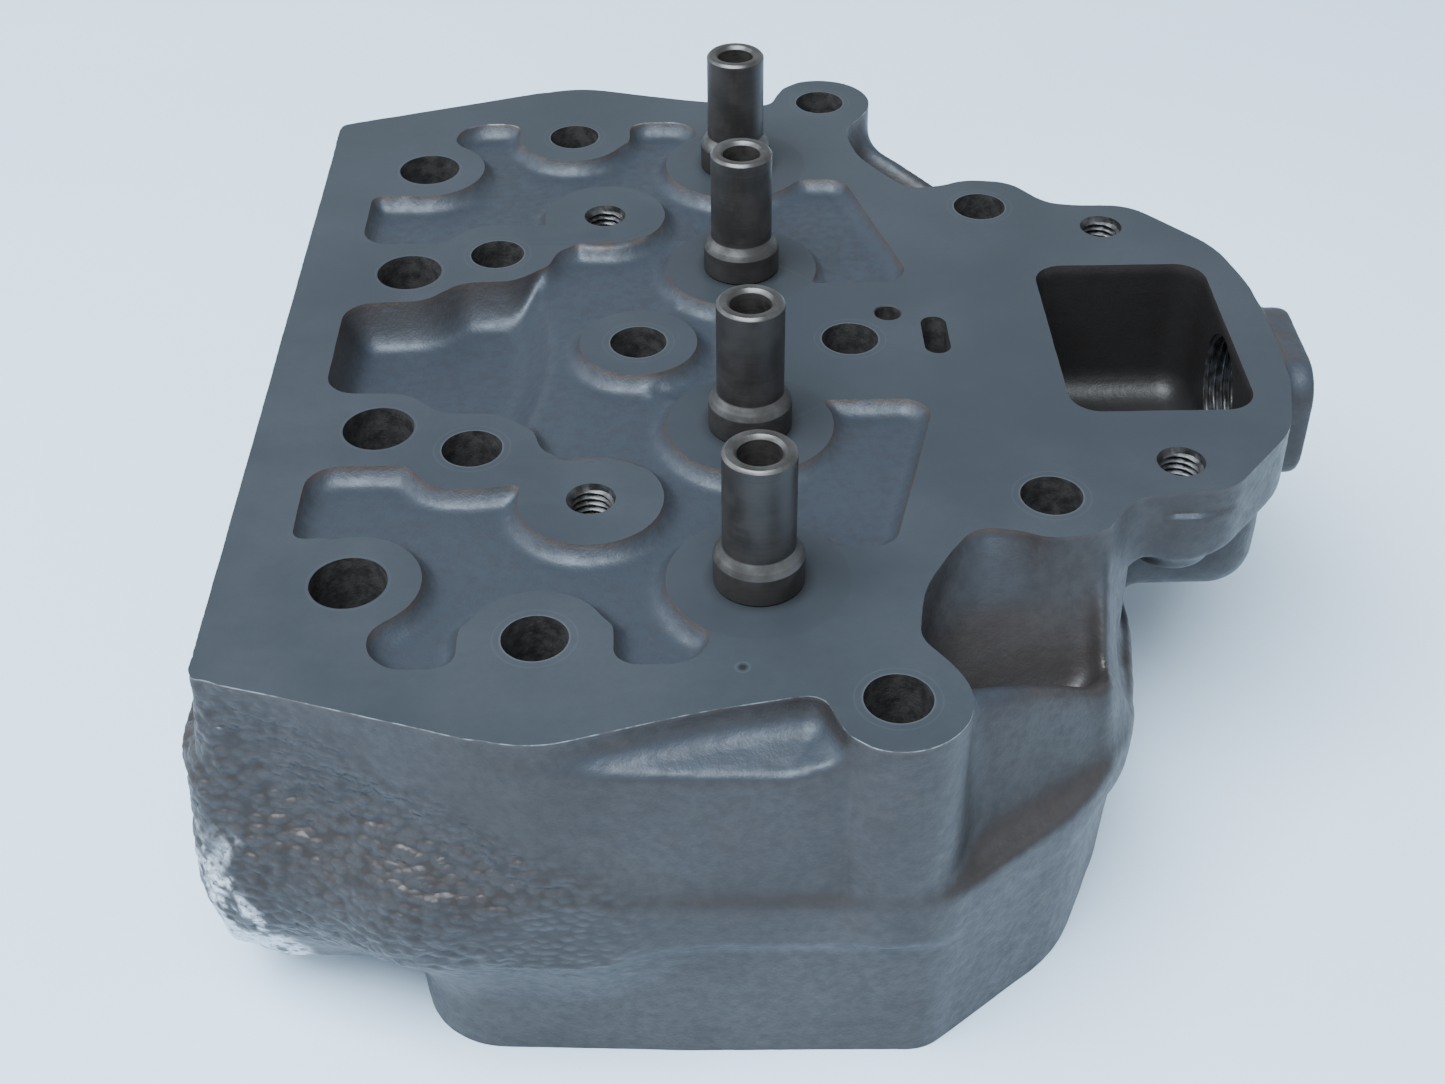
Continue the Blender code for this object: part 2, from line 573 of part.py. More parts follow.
def core_plug(name, x, y, z, toward, mat):
    """Pressed cup: open end outward, domed disc at the inner end."""
    r = CORE_PLUG_R
    h = CORE_PLUG_H
    wall = 1.4
    rings = [(0.01, 0.0), (r * 0.6, 0.25), (r - 1.6, 0.5), (r - 0.4, 1.2), (r, 2.4), (r, h),
             (r - wall, h), (r - wall, 2.8), (r - wall - 0.5, 2.1), (r * 0.6, 1.75), (0.01, 1.5)]
    outer = [(circle(0.0, 0.0, q, 24), v) for q, v in rings]
    turn = Matrix.Translation((x, y, z)) @ Matrix.Rotation(math.radians(90.0 * toward), 4, "Y")
    obj = loft(name, outer, turn)
    weld(obj, 0.03)
    finish(obj, mat, 30.0)


def gallery_plug(name, mat):
    """Taper pipe plug with a square recess, set in the mouth of the cross drilling."""
    x0 = 37.0 + 50.6
    obj = stepped(name, [(GALLERY_PLUG_R - 0.6, 0.0), (GALLERY_PLUG_R, 0.8), (GALLERY_PLUG_R, 8.2),
                         (GALLERY_PLUG_R - 0.5, 8.8)], 24, along_x(x0, GALLERY_Y, GALLERY_Z))
    square = fillet([(-2.6, -2.6, 0.4), (2.6, -2.6, 0.4), (2.6, 2.6, 0.4), (-2.6, 2.6, 0.4)], 45.0)
    cut(obj, prism("recess", square, 4.0, 12.0, along_x(x0, GALLERY_Y, GALLERY_Z)))
    finish(obj, mat, 30.0)


def main():
    for obj in list(bpy.data.objects):
        bpy.data.objects.remove(obj)
    iron = material("cast_iron", (0.13, 0.145, 0.165), 0.75, 0.5)
    guide = material("guide_iron", (0.12, 0.11, 0.105), 0.85, 0.4)
    seat = material("seat_steel", (0.42, 0.42, 0.41), 0.95, 0.28)
    plug = material("plug_steel", (0.36, 0.35, 0.31), 0.9, 0.35)
    build_casting(iron)
    valve_guide("exhaust_guide_near", -EXHAUST_Y, guide)
    valve_guide("intake_guide_near", -INTAKE_Y, guide)
    valve_guide("intake_guide_far", INTAKE_Y, guide)
    valve_guide("exhaust_guide_far", EXHAUST_Y, guide)
    seat_insert("exhaust_seat_near", -EXHAUST_Y, EXHAUST_SEAT_R, seat)
    seat_insert("intake_seat_near", -INTAKE_Y, INTAKE_SEAT_R, seat)
    seat_insert("intake_seat_far", INTAKE_Y, INTAKE_SEAT_R, seat)
    seat_insert("exhaust_seat_far", EXHAUST_Y, EXHAUST_SEAT_R, seat)
    for word, s in (("near", -1.0), ("far", 1.0)):
        core_plug("manifold_core_plug_" + word, -117.3, LEFT_CORE[0] * s, LEFT_CORE[1], -1.0, plug)
        core_plug("outlet_core_plug_" + word, RIGHT_WALL_X - 9.7, RIGHT_CORE[0] * s, RIGHT_CORE[1], 1.0, plug)
    gallery_plug("oil_gallery_plug", plug)


main()
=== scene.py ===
"""Looks of the cylinder head: cast skin, machined faces, threads, guides, seats and plugs.

The casting is a distance field on a grid, so that its walls run into each other in soft cast
radii.  It is meshed, roughened like sand-cast iron, and then machined: planes, bores, threads.
Lengths inside this file are in millimetres in the frame of the part, and are scaled at the end.
"""

import math

import bmesh
import bpy
import numpy as np
from mathutils import Matrix, Vector


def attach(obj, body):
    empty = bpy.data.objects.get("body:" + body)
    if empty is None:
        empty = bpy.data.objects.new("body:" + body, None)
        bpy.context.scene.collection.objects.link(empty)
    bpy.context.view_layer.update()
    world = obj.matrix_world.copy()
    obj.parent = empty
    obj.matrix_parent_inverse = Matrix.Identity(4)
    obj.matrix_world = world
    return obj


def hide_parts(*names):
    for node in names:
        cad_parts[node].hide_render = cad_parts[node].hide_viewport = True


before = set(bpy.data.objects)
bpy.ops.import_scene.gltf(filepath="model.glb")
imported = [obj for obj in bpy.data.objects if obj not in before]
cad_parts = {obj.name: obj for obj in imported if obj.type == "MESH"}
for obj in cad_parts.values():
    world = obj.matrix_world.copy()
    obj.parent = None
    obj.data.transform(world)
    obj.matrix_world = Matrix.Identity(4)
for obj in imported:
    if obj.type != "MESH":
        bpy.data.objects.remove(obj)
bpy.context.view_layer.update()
CELL = 0.92

HEIGHT = 104.0
PARTING = 55.0
STUDS = [(-28.0, 0.0), (27.4, 0.0)]
for _x, _y in ((-67.9, 46.0), (-49.0, 115.8), (27.6, 136.7), (69.9, 68.7)):
    STUDS += [(_x, -_y), (_x, _y)]
STUD_R = 7.4
PUSHRODS = [(-91.6, -37.0), (-91.6, 37.0), (-91.6, -96.1), (-91.6, 96.1)]
PUSHROD_R = 8.8
GUIDES = [-96.8, -37.4, 37.4, 96.8]
STAND_HOLES = [(-38.4, -66.8), (-38.4, 66.8)]
OUTLET_HOLES = [(103.0, -56.2), (103.0, 56.2)]
MANIFOLD_X = -128.0
BOSS_X, BOSS_Z = 146.0, 85.5


# ---------------- outlines
def arc(cx, cy, r, a0, a1, steps):
    out = []
    for i in range(steps + 1):
        a = math.radians(a0 + (a1 - a0) * i / steps)
        out.append((cx + r * math.cos(a), cy + r * math.sin(a)))
    return out


def fillet(corners, step_deg=7.0):
    """Closed outline from corners (x, y, radius); each corner becomes a tangent arc."""
    out = []
    n = len(corners)
    for i in range(n):
        x, y, r = corners[i]
        p = Vector((x, y))
        a = Vector(corners[i - 1][:2]) - p
        b = Vector(corners[(i + 1) % n][:2]) - p
        la, lb = a.length, b.length
        a.normalize()
        b.normalize()
        half = a.angle(b) / 2.0
        if r <= 0.0 or half > math.radians(89.0):
            out.append((x, y))
            continue
        t = min(r / math.tan(half), 0.49 * la, 0.49 * lb)
        r = t * math.tan(half)
        centre = p + (a + b).normalized() * (r / math.sin(half))
        start = p + a * t - centre
        end = p + b * t - centre
        turn = start.angle_signed(end)
        steps = max(1, int(round(abs(math.degrees(turn)) / step_deg)))
        a0 = math.degrees(math.atan2(start.y, start.x))
        out += arc(centre.x, centre.y, r, a0, a0 - math.degrees(turn), steps)
    return out


def mirrored(half):
    """Close a near half outline (y <= 0) with its mirror image."""
    return list(half) + [(c[0], -c[1]) + tuple(c[2:]) for c in reversed(half)]


def top_half(bridged):
    """Near half of the rocker face outline; bridged spans the scoop beside the end stud boss."""
    half = [(-121.5, -126.0, 2.5), (-50.0, -150.0, 32.0)]
    if bridged:
        half += [(2.0, -149.0, 30.0)]
    else:
        half += [(-13.0, -139.2, 60.0), (12.0, -134.6, 6.0), (14.6, -142.6, 12.0)]
    half += [(x, y, 0.0) for x, y in arc(27.6, -136.7, 15.6, 228.0, 395.0, 24)]
    half += [(34.0, -117.5, 9.0), (36.5, -101.5, 30.0), (50.0, -78.6, 11.0), (61.0, -81.2, 8.0)]
    half += [(x, y, 0.0) for x, y in arc(69.9, -68.7, 15.6, 252.0, 316.0, 10)]
    return half


SLAB_END = [(87.5, -70.5, 10.0), (98.0, -68.6, 20.0), (113.0, -68.0, 14.0), (133.0, -44.0, 30.0),
            (137.9, -22.0, 40.0)]
DECK_HALF = [(-105.5, -103.0, 14.0), (-81.0, -103.0, 5.0), (-81.0, -143.2, 20.5), (-20.0, -146.3, 60.0),
             (38.0, -147.5, 12.0), (74.0, -119.0, 40.0), (90.0, -83.0, 40.0), (94.0, -58.0, 30.0)]


# ---------------- distance field tools
def outline_distance(px, py, outline):
    """Signed distance to a closed outline, negative inside."""
    best = np.full(px.shape, 1e9)
    inside = np.zeros(px.shape, bool)
    for i in range(len(outline)):
        ax, ay = outline[i - 1][:2]
        bx, by = outline[i][:2]
        ex, ey = bx - ax, by - ay
        wx, wy = px - ax, py - ay
        t = np.clip((wx * ex + wy * ey) / (ex * ex + ey * ey + 1e-12), 0.0, 1.0)
        best = np.minimum(best, (wx - ex * t) ** 2 + (wy - ey * t) ** 2)
        if ay != by:
            inside ^= ((ay > py) != (by > py)) & (px < ex * (py - ay) / ey + ax)
    return (np.where(inside, -1.0, 1.0) * np.sqrt(best)).astype(np.float32)


def join(a, b, k):
    """Union with a soft fillet of size k."""
    h = np.maximum(k - np.abs(a - b), 0.0)
    return np.minimum(a, b) - h * h * (0.25 / k)


def both(a, b, k):
    """Intersection with rounded edges of size k."""
    h = np.maximum(k - np.abs(a - b), 0.0)
    return np.maximum(a, b) + h * h * (0.25 / k)


def smooth01(t):
    t = np.clip(t, 0.0, 1.0)
    return t * t * (3.0 - 2.0 * t)


def ball_chain(x, y, z, spine, squash=None):
    """Distance to a chain of balls (x, y, z, r); squash gives half height over half width."""
    best = None
    for i in range(len(spine) - 1):
        a, b = spine[i], spine[i + 1]
        ea = [b[k] - a[k] for k in range(3)]
        s = 1.0
        if squash:
            s = 2.0 / (squash[i] + squash[i + 1])
        length = ea[0] ** 2 + ea[1] ** 2 + (ea[2] * s) ** 2
        t = np.clip(((x - a[0]) * ea[0] + (y - a[1]) * ea[1] + (z - a[2]) * ea[2] * s * s) / length, 0.0, 1.0)
        d = np.sqrt((x - a[0] - t * ea[0]) ** 2 + (y - a[1] - t * ea[1]) ** 2
                    + ((z - a[2] - t * ea[2]) * s) ** 2) - (a[3] + t * (b[3] - a[3]))
        best = d if best is None else join(best, d, 3.0)
    return best


def corner(a, b, r):
    """Distance to a corner rounded with radius r, from the distances past its two flat sides."""
    return np.sqrt(np.maximum(a, 0.0) ** 2 + np.maximum(b, 0.0) ** 2) + np.minimum(np.maximum(a, b), 0.0) - r


def round_box(x, y, z, lo, hi, r):
    q = []
    for v, a, b in ((x, lo[0], hi[0]), (y, lo[1], hi[1]), (z, lo[2], hi[2])):
        q.append(np.abs(v - (a + b) / 2.0) - ((b - a) / 2.0 - r))
    outer = np.sqrt(np.maximum(q[0], 0.0) ** 2 + np.maximum(q[1], 0.0) ** 2 + np.maximum(q[2], 0.0) ** 2)
    return outer + np.minimum(np.maximum(q[0], np.maximum(q[1], q[2])), 0.0) - r


def hull_distance(x, y, z, points, soft):
    """Distance to the convex body round a set of points, with softened edges."""
    bm = bmesh.new()
    for p in points:
        bm.verts.new(p)
    bmesh.ops.convex_hull(bm, input=bm.verts)
    bmesh.ops.recalc_face_normals(bm, faces=bm.faces)
    planes = []
    for f in bm.faces:
        n = f.normal
        d = n.dot(f.verts[0].co)
        if not any(n.dot(m) > 0.999 and abs(d - e) < 0.05 for m, e in planes):
            planes.append((n.copy(), d))
    bm.free()
    total = 0.0
    for n, d in planes:
        total = total + np.exp(np.clip((n.x * x + n.y * y + n.z * z - d) / soft, -40.0, 40.0))
    return soft * np.log(total)


class Grid:
    """Half of the block of space round the head, y <= 0; the other half is its mirror image."""

    def __init__(self, cell):
        self.h = cell
        self.x = np.arange(-132.0, 150.0, cell, dtype=np.float32)
        self.v = ((np.arange(int(157.0 / cell)) + 0.5) * cell).astype(np.float32)
        self.z = np.arange(-3.5, 109.0, cell, dtype=np.float32)

    def window(self, lo, hi):
        """Slices and coordinates of the cells between two corners (x, v, z)."""
        s = []
        for a, l, u in ((self.x, lo[0], hi[0]), (self.v, lo[1], hi[1]), (self.z, lo[2], hi[2])):
            i0 = max(0, int(np.searchsorted(a, l)) - 1)
            i1 = min(len(a), int(np.searchsorted(a, u)) + 1)
            s.append(slice(i0, i1))
        return tuple(s), self.x[s[0]][:, None, None], self.v[s[1]][None, :, None], self.z[s[2]][None, None, :]


def cast_field(grid):
    """Field of the rough casting, negative inside, with v = -y the distance from the middle plane."""
    x2, v2 = np.meshgrid(grid.x, grid.v, indexing="ij")
    x3, z3 = grid.x[:, None, None], grid.z[None, None, :]

    def plan(outline):
        return outline_distance(x2, -v2, outline)

    deck = plan(fillet(mirrored(DECK_HALF)))[:, :, None]
    middle = plan(fillet(mirrored(top_half(True) + [(92.0, -66.0, 10.0)])))[:, :, None]
    slab = plan(fillet(mirrored(top_half(True) + SLAB_END)))[:, :, None]
    true_top = plan(fillet(mirrored(top_half(False) + SLAB_END)))[:, :, None]

    f = both(deck - 3.0 * z3 / PARTING, z3 - PARTING, 2.6)
    mid = both(middle, PARTING - 12.0 - z3, 1.0)
    f = join(f, mid, 5.0)

    def blend(tool, lo, hi, k, op=join):
        s, x, v, z = grid.window([a - k for a in lo], [b + k for b in hi])
        d = tool(x, v, z).astype(np.float32)
        f[s] = op(f[s], d, k)

    # manifold block that overhangs on the left
    def block(x, v, z):
        level = [0.0, 12.0, 20.0, 42.0, 62.0, 98.0, 112.0]
        left = np.interp(z, level, [-100.0, -112.0, -122.0, -126.5, -126.0, -121.9, -121.3])
        out = np.interp(z, level, [108.0, 122.0, 132.0, 137.0, 135.0, 126.9, 125.9])
        r = np.interp(z, level, [8.0, 10.0, 12.0, 13.0, 12.0, 4.0, 2.5])
        d = corner(left + r - x, v - (out - r), r)
        return both(both(d, x + 76.0, 4.0), 13.0 - z, 9.0)
    s, x, v, z = grid.window((-137.0, 0.0, 0.0), (-64.0, 146.0, 115.0))
    f[s] = join(f[s], block(x, v, z).astype(np.float32), np.interp(z, [36.0, 58.0], [5.0, 0.8]))

    for y, w in ((110.0, 22.0), (0.0, 28.0)):
        def pad(x, v, z, y=y, w=w):
            d = round_box(x, v, z, (-134.0, y - w, 18.0), (-110.0, y + w, 82.0), 12.0)
            return both(d, 0.937 * (0.372 * v - x - 173.4), 3.0)
        blend(pad, (-134.0, y - w, 18.0), (-108.0, y + w, 82.0), 3.0)

    # wall of the exhaust port, swelling out of the end face
    spine = [(-106.0, 115.0, 47.0, 21.5), (-76.0, 129.6, 47.5, 21.3), (-42.0, 129.8, 48.0, 21.2),
             (-22.0, 124.0, 50.0, 17.0)]
    blend(lambda x, v, z: ball_chain(x, v, z, spine), (-128.0, 92.0, 24.0), (0.0, 153.5, 72.0), 13.0)

    # scoops beside the end stud boss: back wall, closing wall and the ridge between the scoops
    back = [(36.0, 84.0, 102.0), (52.0, 79.0, 102.0), (74.0, 82.0, 100.0), (36.0, 108.0, 66.0),
            (60.0, 105.0, 62.0), (86.0, 96.0, 62.0), (36.0, 80.0, 50.0), (90.0, 80.0, 50.0),
            (86.0, 104.0, 50.0), (38.0, 116.0, 50.0)]
    side = [(80.0, 66.0, 101.0), (85.4, 68.0, 101.0), (84.0, 80.0, 101.0), (78.0, 84.0, 96.0),
            (92.0, 70.0, 50.0), (90.0, 88.0, 50.0), (84.0, 105.0, 50.0), (80.0, 106.0, 78.0),
            (76.0, 80.0, 50.0), (86.5, 92.0, 74.0)]
    ridge = [(34.0, 112.0, 50.0), (40.0, 140.0, 50.0), (80.0, 114.0, 50.0), (88.0, 92.0, 50.0),
             (38.0, 126.0, 99.0), (45.0, 129.0, 94.0), (78.0, 109.0, 82.0), (84.0, 101.0, 74.0),
             (70.0, 104.0, 80.0)]
    for points, soft, lo, hi, k in ((back, 1.6, (30.0, 72.0, 46.0), (94.0, 120.0, 104.0), 7.0),
                                    (side, 1.8, (72.0, 62.0, 46.0), (96.0, 110.0, 104.0), 7.0),
                                    (ridge, 1.8, (30.0, 88.0, 46.0), (92.0, 144.0, 104.0), 9.0)):
        blend(lambda x, v, z: hull_distance(x, v, z, points, soft), lo, hi, k)

    # slab over the overhangs and the coolant outlet block below it
    f = join(f, both(both(slab, HEIGHT - 20.0 - z3, 2.5), 76.0 - x3, 6.0), 4.0)
    blend(lambda x, v, z: round_box(x, v, z, (60.0, -60.0, 51.0), (131.5, 46.0, 110.0), 12.0),
          (66.0, 0.0, 50.0), (132.0, 50.0, 92.0), 5.0)

    def outlet_pad(x, v, z):
        r = 10.0 + np.clip((z - 78.0) * 0.25, 0.0, 3.0)
        d = np.sqrt((x - 103.0) ** 2 + (v - 56.2) ** 2) - r
        return both(d, 77.5 - z, 3.0)
    blend(outlet_pad, (88.0, 40.0, 76.0), (118.0, 72.0, 92.0), 4.0)

    def boss(x, v, z):
        d = corner(v - (20.5 - 10.0), np.abs(z - BOSS_Z) - (17.5 - 10.0), 10.0)
        return both(d, x - 146.6, 3.0)
    blend(boss, (118.0, 0.0, 66.0), (147.5, 22.0, 106.0), 3.0)

    # scoop under the edge of the rocker face, left of the end stud boss
    lip = both(-true_top, 97.2 - 0.30 * true_top - z3, 5.0)
    lip = both(both(lip, -60.0 - x3, 3.0), x3 - 20.0, 3.0)
    f = both(f, -lip, 2.2)
    f = both(f, z3 - 108.0, 0.5)

    # top of the casting: pockets and well
    f = both(f, top_surface(grid, x2, v2, z3), 0.3)

    # cored spaces: coolant chamber, combustion chamber, gas ports
    blend(lambda x, v, z: -round_box(x, v, z, (80.3, -35.0, 62.0), (127.0, 35.0, 140.0), 8.0),
          (78.0, 0.0, 60.0), (129.0, 37.0, 110.0), 0.6, both)
    fire = fillet([(-26.0, -13.5, 26.0), (27.0, -13.5, 24.0), (44.0, -40.0, 14.0), (44.0, -66.0, 16.0),
                   (25.0, -119.5, 22.0), (-24.0, -119.5, 24.0)])
    fire = outline_distance(x2, -v2, fire)[:, :, None]
    f = both(f, -both(fire + 0.12 * z3, z3 - 15.0, 7.0), 1.2)
    exhaust = [(2.0, 96.8, 40.0, 13.0), (-18.0, 113.0, 46.0, 11.5), (-38.0, 133.0, 48.0, 9.0),
               (-68.0, 134.0, 49.0, 9.0), (-100.0, 118.5, 50.0, 12.0), (-140.0, 110.0, 50.0, 15.0)]
    tall = [1.0, 1.2, 1.6, 1.6, 1.3, 1.07]
    blend(lambda x, v, z: -ball_chain(x, v, z, exhaust, tall), (-140.0, 80.0, 24.0), (18.0, 150.0, 72.0), 1.5,
          both)
    intake = [(4.0, 37.4, 40.0, 15.0), (-26.0, 28.5, 46.0, 14.0), (-56.0, 14.0, 50.0, 14.0),
              (-88.0, 5.0, 50.0, 14.0), (-140.0, 5.5, 50.0, 14.0)]
    blend(lambda x, v, z: -ball_chain(x, v, z, intake, [1.0, 1.05, 1.1, 1.14, 1.14]), (-140.0, 0.0, 24.0),
          (22.0, 56.0, 70.0), 1.5, both)
    for y, r in ((96.8, 14.0), (37.4, 16.0)):
        def throat(x, v, z, y=y, r=r):
            d = np.sqrt(x * x + (v - y) ** 2) - (r - 0.06 * np.maximum(z - 22.0, 0.0))
            return -both(d, np.maximum(z - 46.0, 10.0 - z), 2.0)
        blend(throat, (-r, y - r, 8.0), (r, y + r, 48.0), 2.0, both)
    for edge in (f[0], f[-1], f[:, -1], f[:, :, 0], f[:, :, -1]):
        np.maximum(edge, 0.4, out=edge)
    return f


def pocket_outline(x2, v2):
    """Plan distance to the shallow pockets of the rocker face, with the bosses left standing."""
    def plan(corners):
        return outline_distance(x2, v2, fillet(corners))

    p = plan([(-58.0, -30.0, 4.0), (-60.0, 38.0, 2.0), (-52.5, 46.0, 2.0), (-45.0, 51.3, 3.0),
              (-40.0, 54.5, 1.0), (-28.0, 62.0, 1.0), (-17.0, 66.0, 2.0), (-8.0, 66.0, 2.0),
              (-8.0, 30.0, 2.0), (-4.0, 13.0, 4.0),
              (-4.0, -30.0, 4.0)])
    lobes = plan([(-106.8, 52.4, 8.0), (-81.0, 52.4, 6.0), (-76.0, 61.0, 6.0), (-55.5, 61.2, 3.0),
                  (-48.0, 70.0, 1.0), (-30.0, 72.0, 1.0), (-18.0, 56.0, 1.0), (12.0, 50.0, 1.0),
                  (12.0, 83.0, 1.0), (-11.3, 90.0, 1.0), (-11.3, 124.8, 9.0), (-32.5, 124.8, 8.0),
                  (-33.0, 112.0, 1.0), (-64.5, 112.0, 1.0),
                  (-65.0, 125.2, 8.0), (-85.2, 125.2, 9.5), (-85.2, 104.0, 1.0), (-100.0, 80.2, 1.0),
                  (-106.8, 80.2, 8.0)])
    slant = plan([(14.0, 27.8, 9.0), (47.0, 27.8, 7.0), (31.5, 86.5, 7.0), (5.0, 86.5, 1.0),
                  (4.0, 40.0, 1.0)])
    p = join(p, lobes, 2.0)
    p = join(p, slant, 2.0)
    for bx, bv, r, k in ((-28.0, 0.0, 15.4, 1.0), (-38.4, 66.8, 17.2, 1.0), (0.0, 37.4, 20.6, 2.0),
                         (0.0, 96.8, 20.8, 2.0), (-67.9, 46.0, 15.9, 3.0), (-91.6, 96.1, 16.4, 4.0),
                         (-49.0, 115.8, 15.7, 4.0)):
        p = both(p, r - np.sqrt((x2 - bx) ** 2 + (v2 - bv) ** 2), k)
    return p


def top_surface(grid, x2, v2, z3):
    """Height of the cast pockets and of the deep well, as a distance field."""
    p = pocket_outline(x2, v2)
    full = 4.0 - 0.7 * smooth01((x2 - 2.0) / 10.0)
    inner = np.clip(-p / 4.6, -1.0, 1.0)
    depth = np.where(inner > 0.0, full * (1.0 - (1.0 - np.maximum(inner, 0.0)) ** 2.1), inner * full * 2.6)
    half = [(-107.2, -21.2, 8.0), (-86.0, -22.0, 10.0), (-77.0, -31.0, 10.0), (-62.0, -31.6, 10.0),
            (-52.5, -40.0, 6.0), (-46.0, -53.0, 3.0), (-20.0, -56.0, 3.0)]
    w = outline_distance(x2, v2, fillet(mirrored(half)))
    w = both(w, 15.4 - np.sqrt((x2 + 28.0) ** 2 + v2 * v2), 1.0)
    inner = np.clip(-w / 8.5, -1.0, 1.0)
    wall = np.where(inner > 0.0, 12.5 * (1.0 - (1.0 - np.maximum(inner, 0.0)) ** 2.2), inner * 30.0)
    ramp = 12.8 * smooth01((-43.5 - 0.0048 * v2 * v2 - x2) / 20.0)
    well = join(wall, ramp, 2.5)
    depth = both(depth, well, 1.4)
    # small raised flecks on the floor of the middle pocket
    for fx, fv, fh, fr in ((-25.0, 18.6, 0.9, 1.7), (-19.8, 22.2, 0.7, 2.1)):
        depth = depth - fh * np.exp(-((x2 - fx) ** 2 + (v2 - fv) ** 2) / fr ** 2)
    height = (HEIGHT - depth).astype(np.float32)
    gx, gv = np.gradient(height, grid.h)
    slope = np.sqrt(1.0 + gx * gx + gv * gv)
    return (z3 - height[:, :, None]) / slope[:, :, None]


# ---------------- field to mesh
def surface_net(f, xs, ys, zs):
    """Quads round the zero level of a field; one vertex in each cell that the level crosses."""
    neg = f < 0.0
    n = f.shape
    count = np.zeros((n[0] - 1, n[1] - 1, n[2] - 1), np.uint8)
    corners = [(i, j, k) for i in (0, 1) for j in (0, 1) for k in (0, 1)]
    for i, j, k in corners:
        count += neg[i:n[0] - 1 + i, j:n[1] - 1 + j, k:n[2] - 1 + k]
    ci, cj, ck = np.nonzero((count > 0) & (count < 8))
    del count
    index = np.full((n[0] - 1, n[1] - 1, n[2] - 1), -1, np.int32)
    index[ci, cj, ck] = np.arange(len(ci), dtype=np.int32)
    value = {c: f[ci + c[0], cj + c[1], ck + c[2]] for c in corners}
    total = np.zeros((len(ci), 3))
    hits = np.zeros(len(ci))
    for a in corners:
        for axis in range(3):
            if a[axis]:
                continue
            b = tuple(1 if m == axis else a[m] for m in range(3))
            va, vb = value[a], value[b]
            cross = (va < 0.0) != (vb < 0.0)
            t = np.where(cross, va / np.where(cross, va - vb, 1.0), 0.0)
            for m in range(3):
                total[:, m] += np.where(cross, a[m] + (t if m == axis else 0.0), 0.0)
            hits += cross
    local = total / hits[:, None]
    h = xs[1] - xs[0]
    points = np.stack([xs[ci], ys[cj], zs[ck]], 1) + local * h
    quads = []
    for axis in range(3):
        a = [slice(1, n[m] - 1) for m in range(3)]
        b = list(a)
        a[axis] = slice(0, n[axis] - 1)
        b[axis] = slice(1, n[axis])
        lower, upper = neg[tuple(a)], neg[tuple(b)]
        flip = np.nonzero(lower != upper)
        g = [flip[m] + (0 if axis == m else 1) for m in range(3)]
        u, w = [(1, 2), (2, 0), (0, 1)][axis]
        ring = []
        for du, dw in ((-1, -1), (0, -1), (0, 0), (-1, 0)):
            c = [g[0].copy(), g[1].copy(), g[2].copy()]
            c[u] += du
            c[w] += dw
            ring.append(index[c[0], c[1], c[2]])
        q = np.stack(ring, 1)
        outward = lower[flip]
        q[~outward] = q[~outward][:, ::-1]
        quads.append(q)
    return points, np.concatenate(quads)


def smooth_net(points, quads, rounds):
    """Taubin smoothing that takes the grid's ripple out without shrinking."""
    edges = np.concatenate([quads[:, [0, 1]], quads[:, [1, 2]], quads[:, [2, 3]], quads[:, [3, 0]]])
    n = len(points)
    degree = np.bincount(edges[:, 0], minlength=n) + np.bincount(edges[:, 1], minlength=n)
    degree = np.maximum(degree, 1)
    p = points.copy()
    for _ in range(rounds):
        for factor in (0.55, -0.57):
            out = np.zeros_like(p)
            for m in range(3):
                out[:, m] = np.bincount(edges[:, 0], p[edges[:, 1], m], n)
                out[:, m] += np.bincount(edges[:, 1], p[edges[:, 0], m], n)
            p += factor * (out / degree[:, None] - p)
    return p


def net_normals(p, quads):
    a = p[quads[:, 2]] - p[quads[:, 0]]
    b = p[quads[:, 3]] - p[quads[:, 1]]
    face = np.cross(a, b)
    out = np.zeros_like(p)
    for c in range(4):
        for m in range(3):
            out[:, m] += np.bincount(quads[:, c], face[:, m], len(p))
    return out / np.maximum(np.linalg.norm(out, axis=1), 1e-9)[:, None]


def hashed(i, j, k, seed):
    """Repeatable numbers from 0 to 1 for lattice points."""
    h = (i.astype(np.int64) * 374761393 + j.astype(np.int64) * 668265263 + k.astype(np.int64) * 2147483647
         + seed * 1274126177) & 0xFFFFFFFF
    h = ((h ^ (h >> 13)) * 1274126177) & 0xFFFFFFFF
    h = ((h ^ (h >> 16)) * 2246822519) & 0xFFFFFFFF
    return ((h ^ (h >> 15)) & 0xFFFFFF) / float(0xFFFFFF)


def noise(p, size, seed):
    """Smooth noise from -1 to 1 with lumps of the given size."""
    q = p / size
    base = np.floor(q).astype(np.int64)
    t = q - base
    t = t * t * t * (t * (t * 6.0 - 15.0) + 10.0)
    out = np.zeros(len(p))
    for i in (0, 1):
        for j in (0, 1):
            for k in (0, 1):
                w = t[:, 0] if i else 1 - t[:, 0]
                w = w * (t[:, 1] if j else 1 - t[:, 1])
                w = w * (t[:, 2] if k else 1 - t[:, 2])
                out += w * hashed(base[:, 0] + i, base[:, 1] + j, base[:, 2] + k, seed)
    return out * 2.0 - 1.0


def grains(p, size, seed):
    """Rounded grains with creases between them, about 0 on average, 1 at a grain's crown."""
    q = p / size
    base = np.floor(q).astype(np.int64)
    near = np.full(len(p), 9.0)
    for i in (-1, 0, 1):
        for j in (-1, 0, 1):
            for k in (-1, 0, 1):
                c = base + np.array([i, j, k])
                d = np.zeros(len(p))
                for m in range(3):
                    d += (c[:, m] + hashed(c[:, 0], c[:, 1], c[:, 2], seed + m) - q[:, m]) ** 2
                near = np.minimum(near, d)
    return 1.0 - 2.2 * np.minimum(near, 0.9)


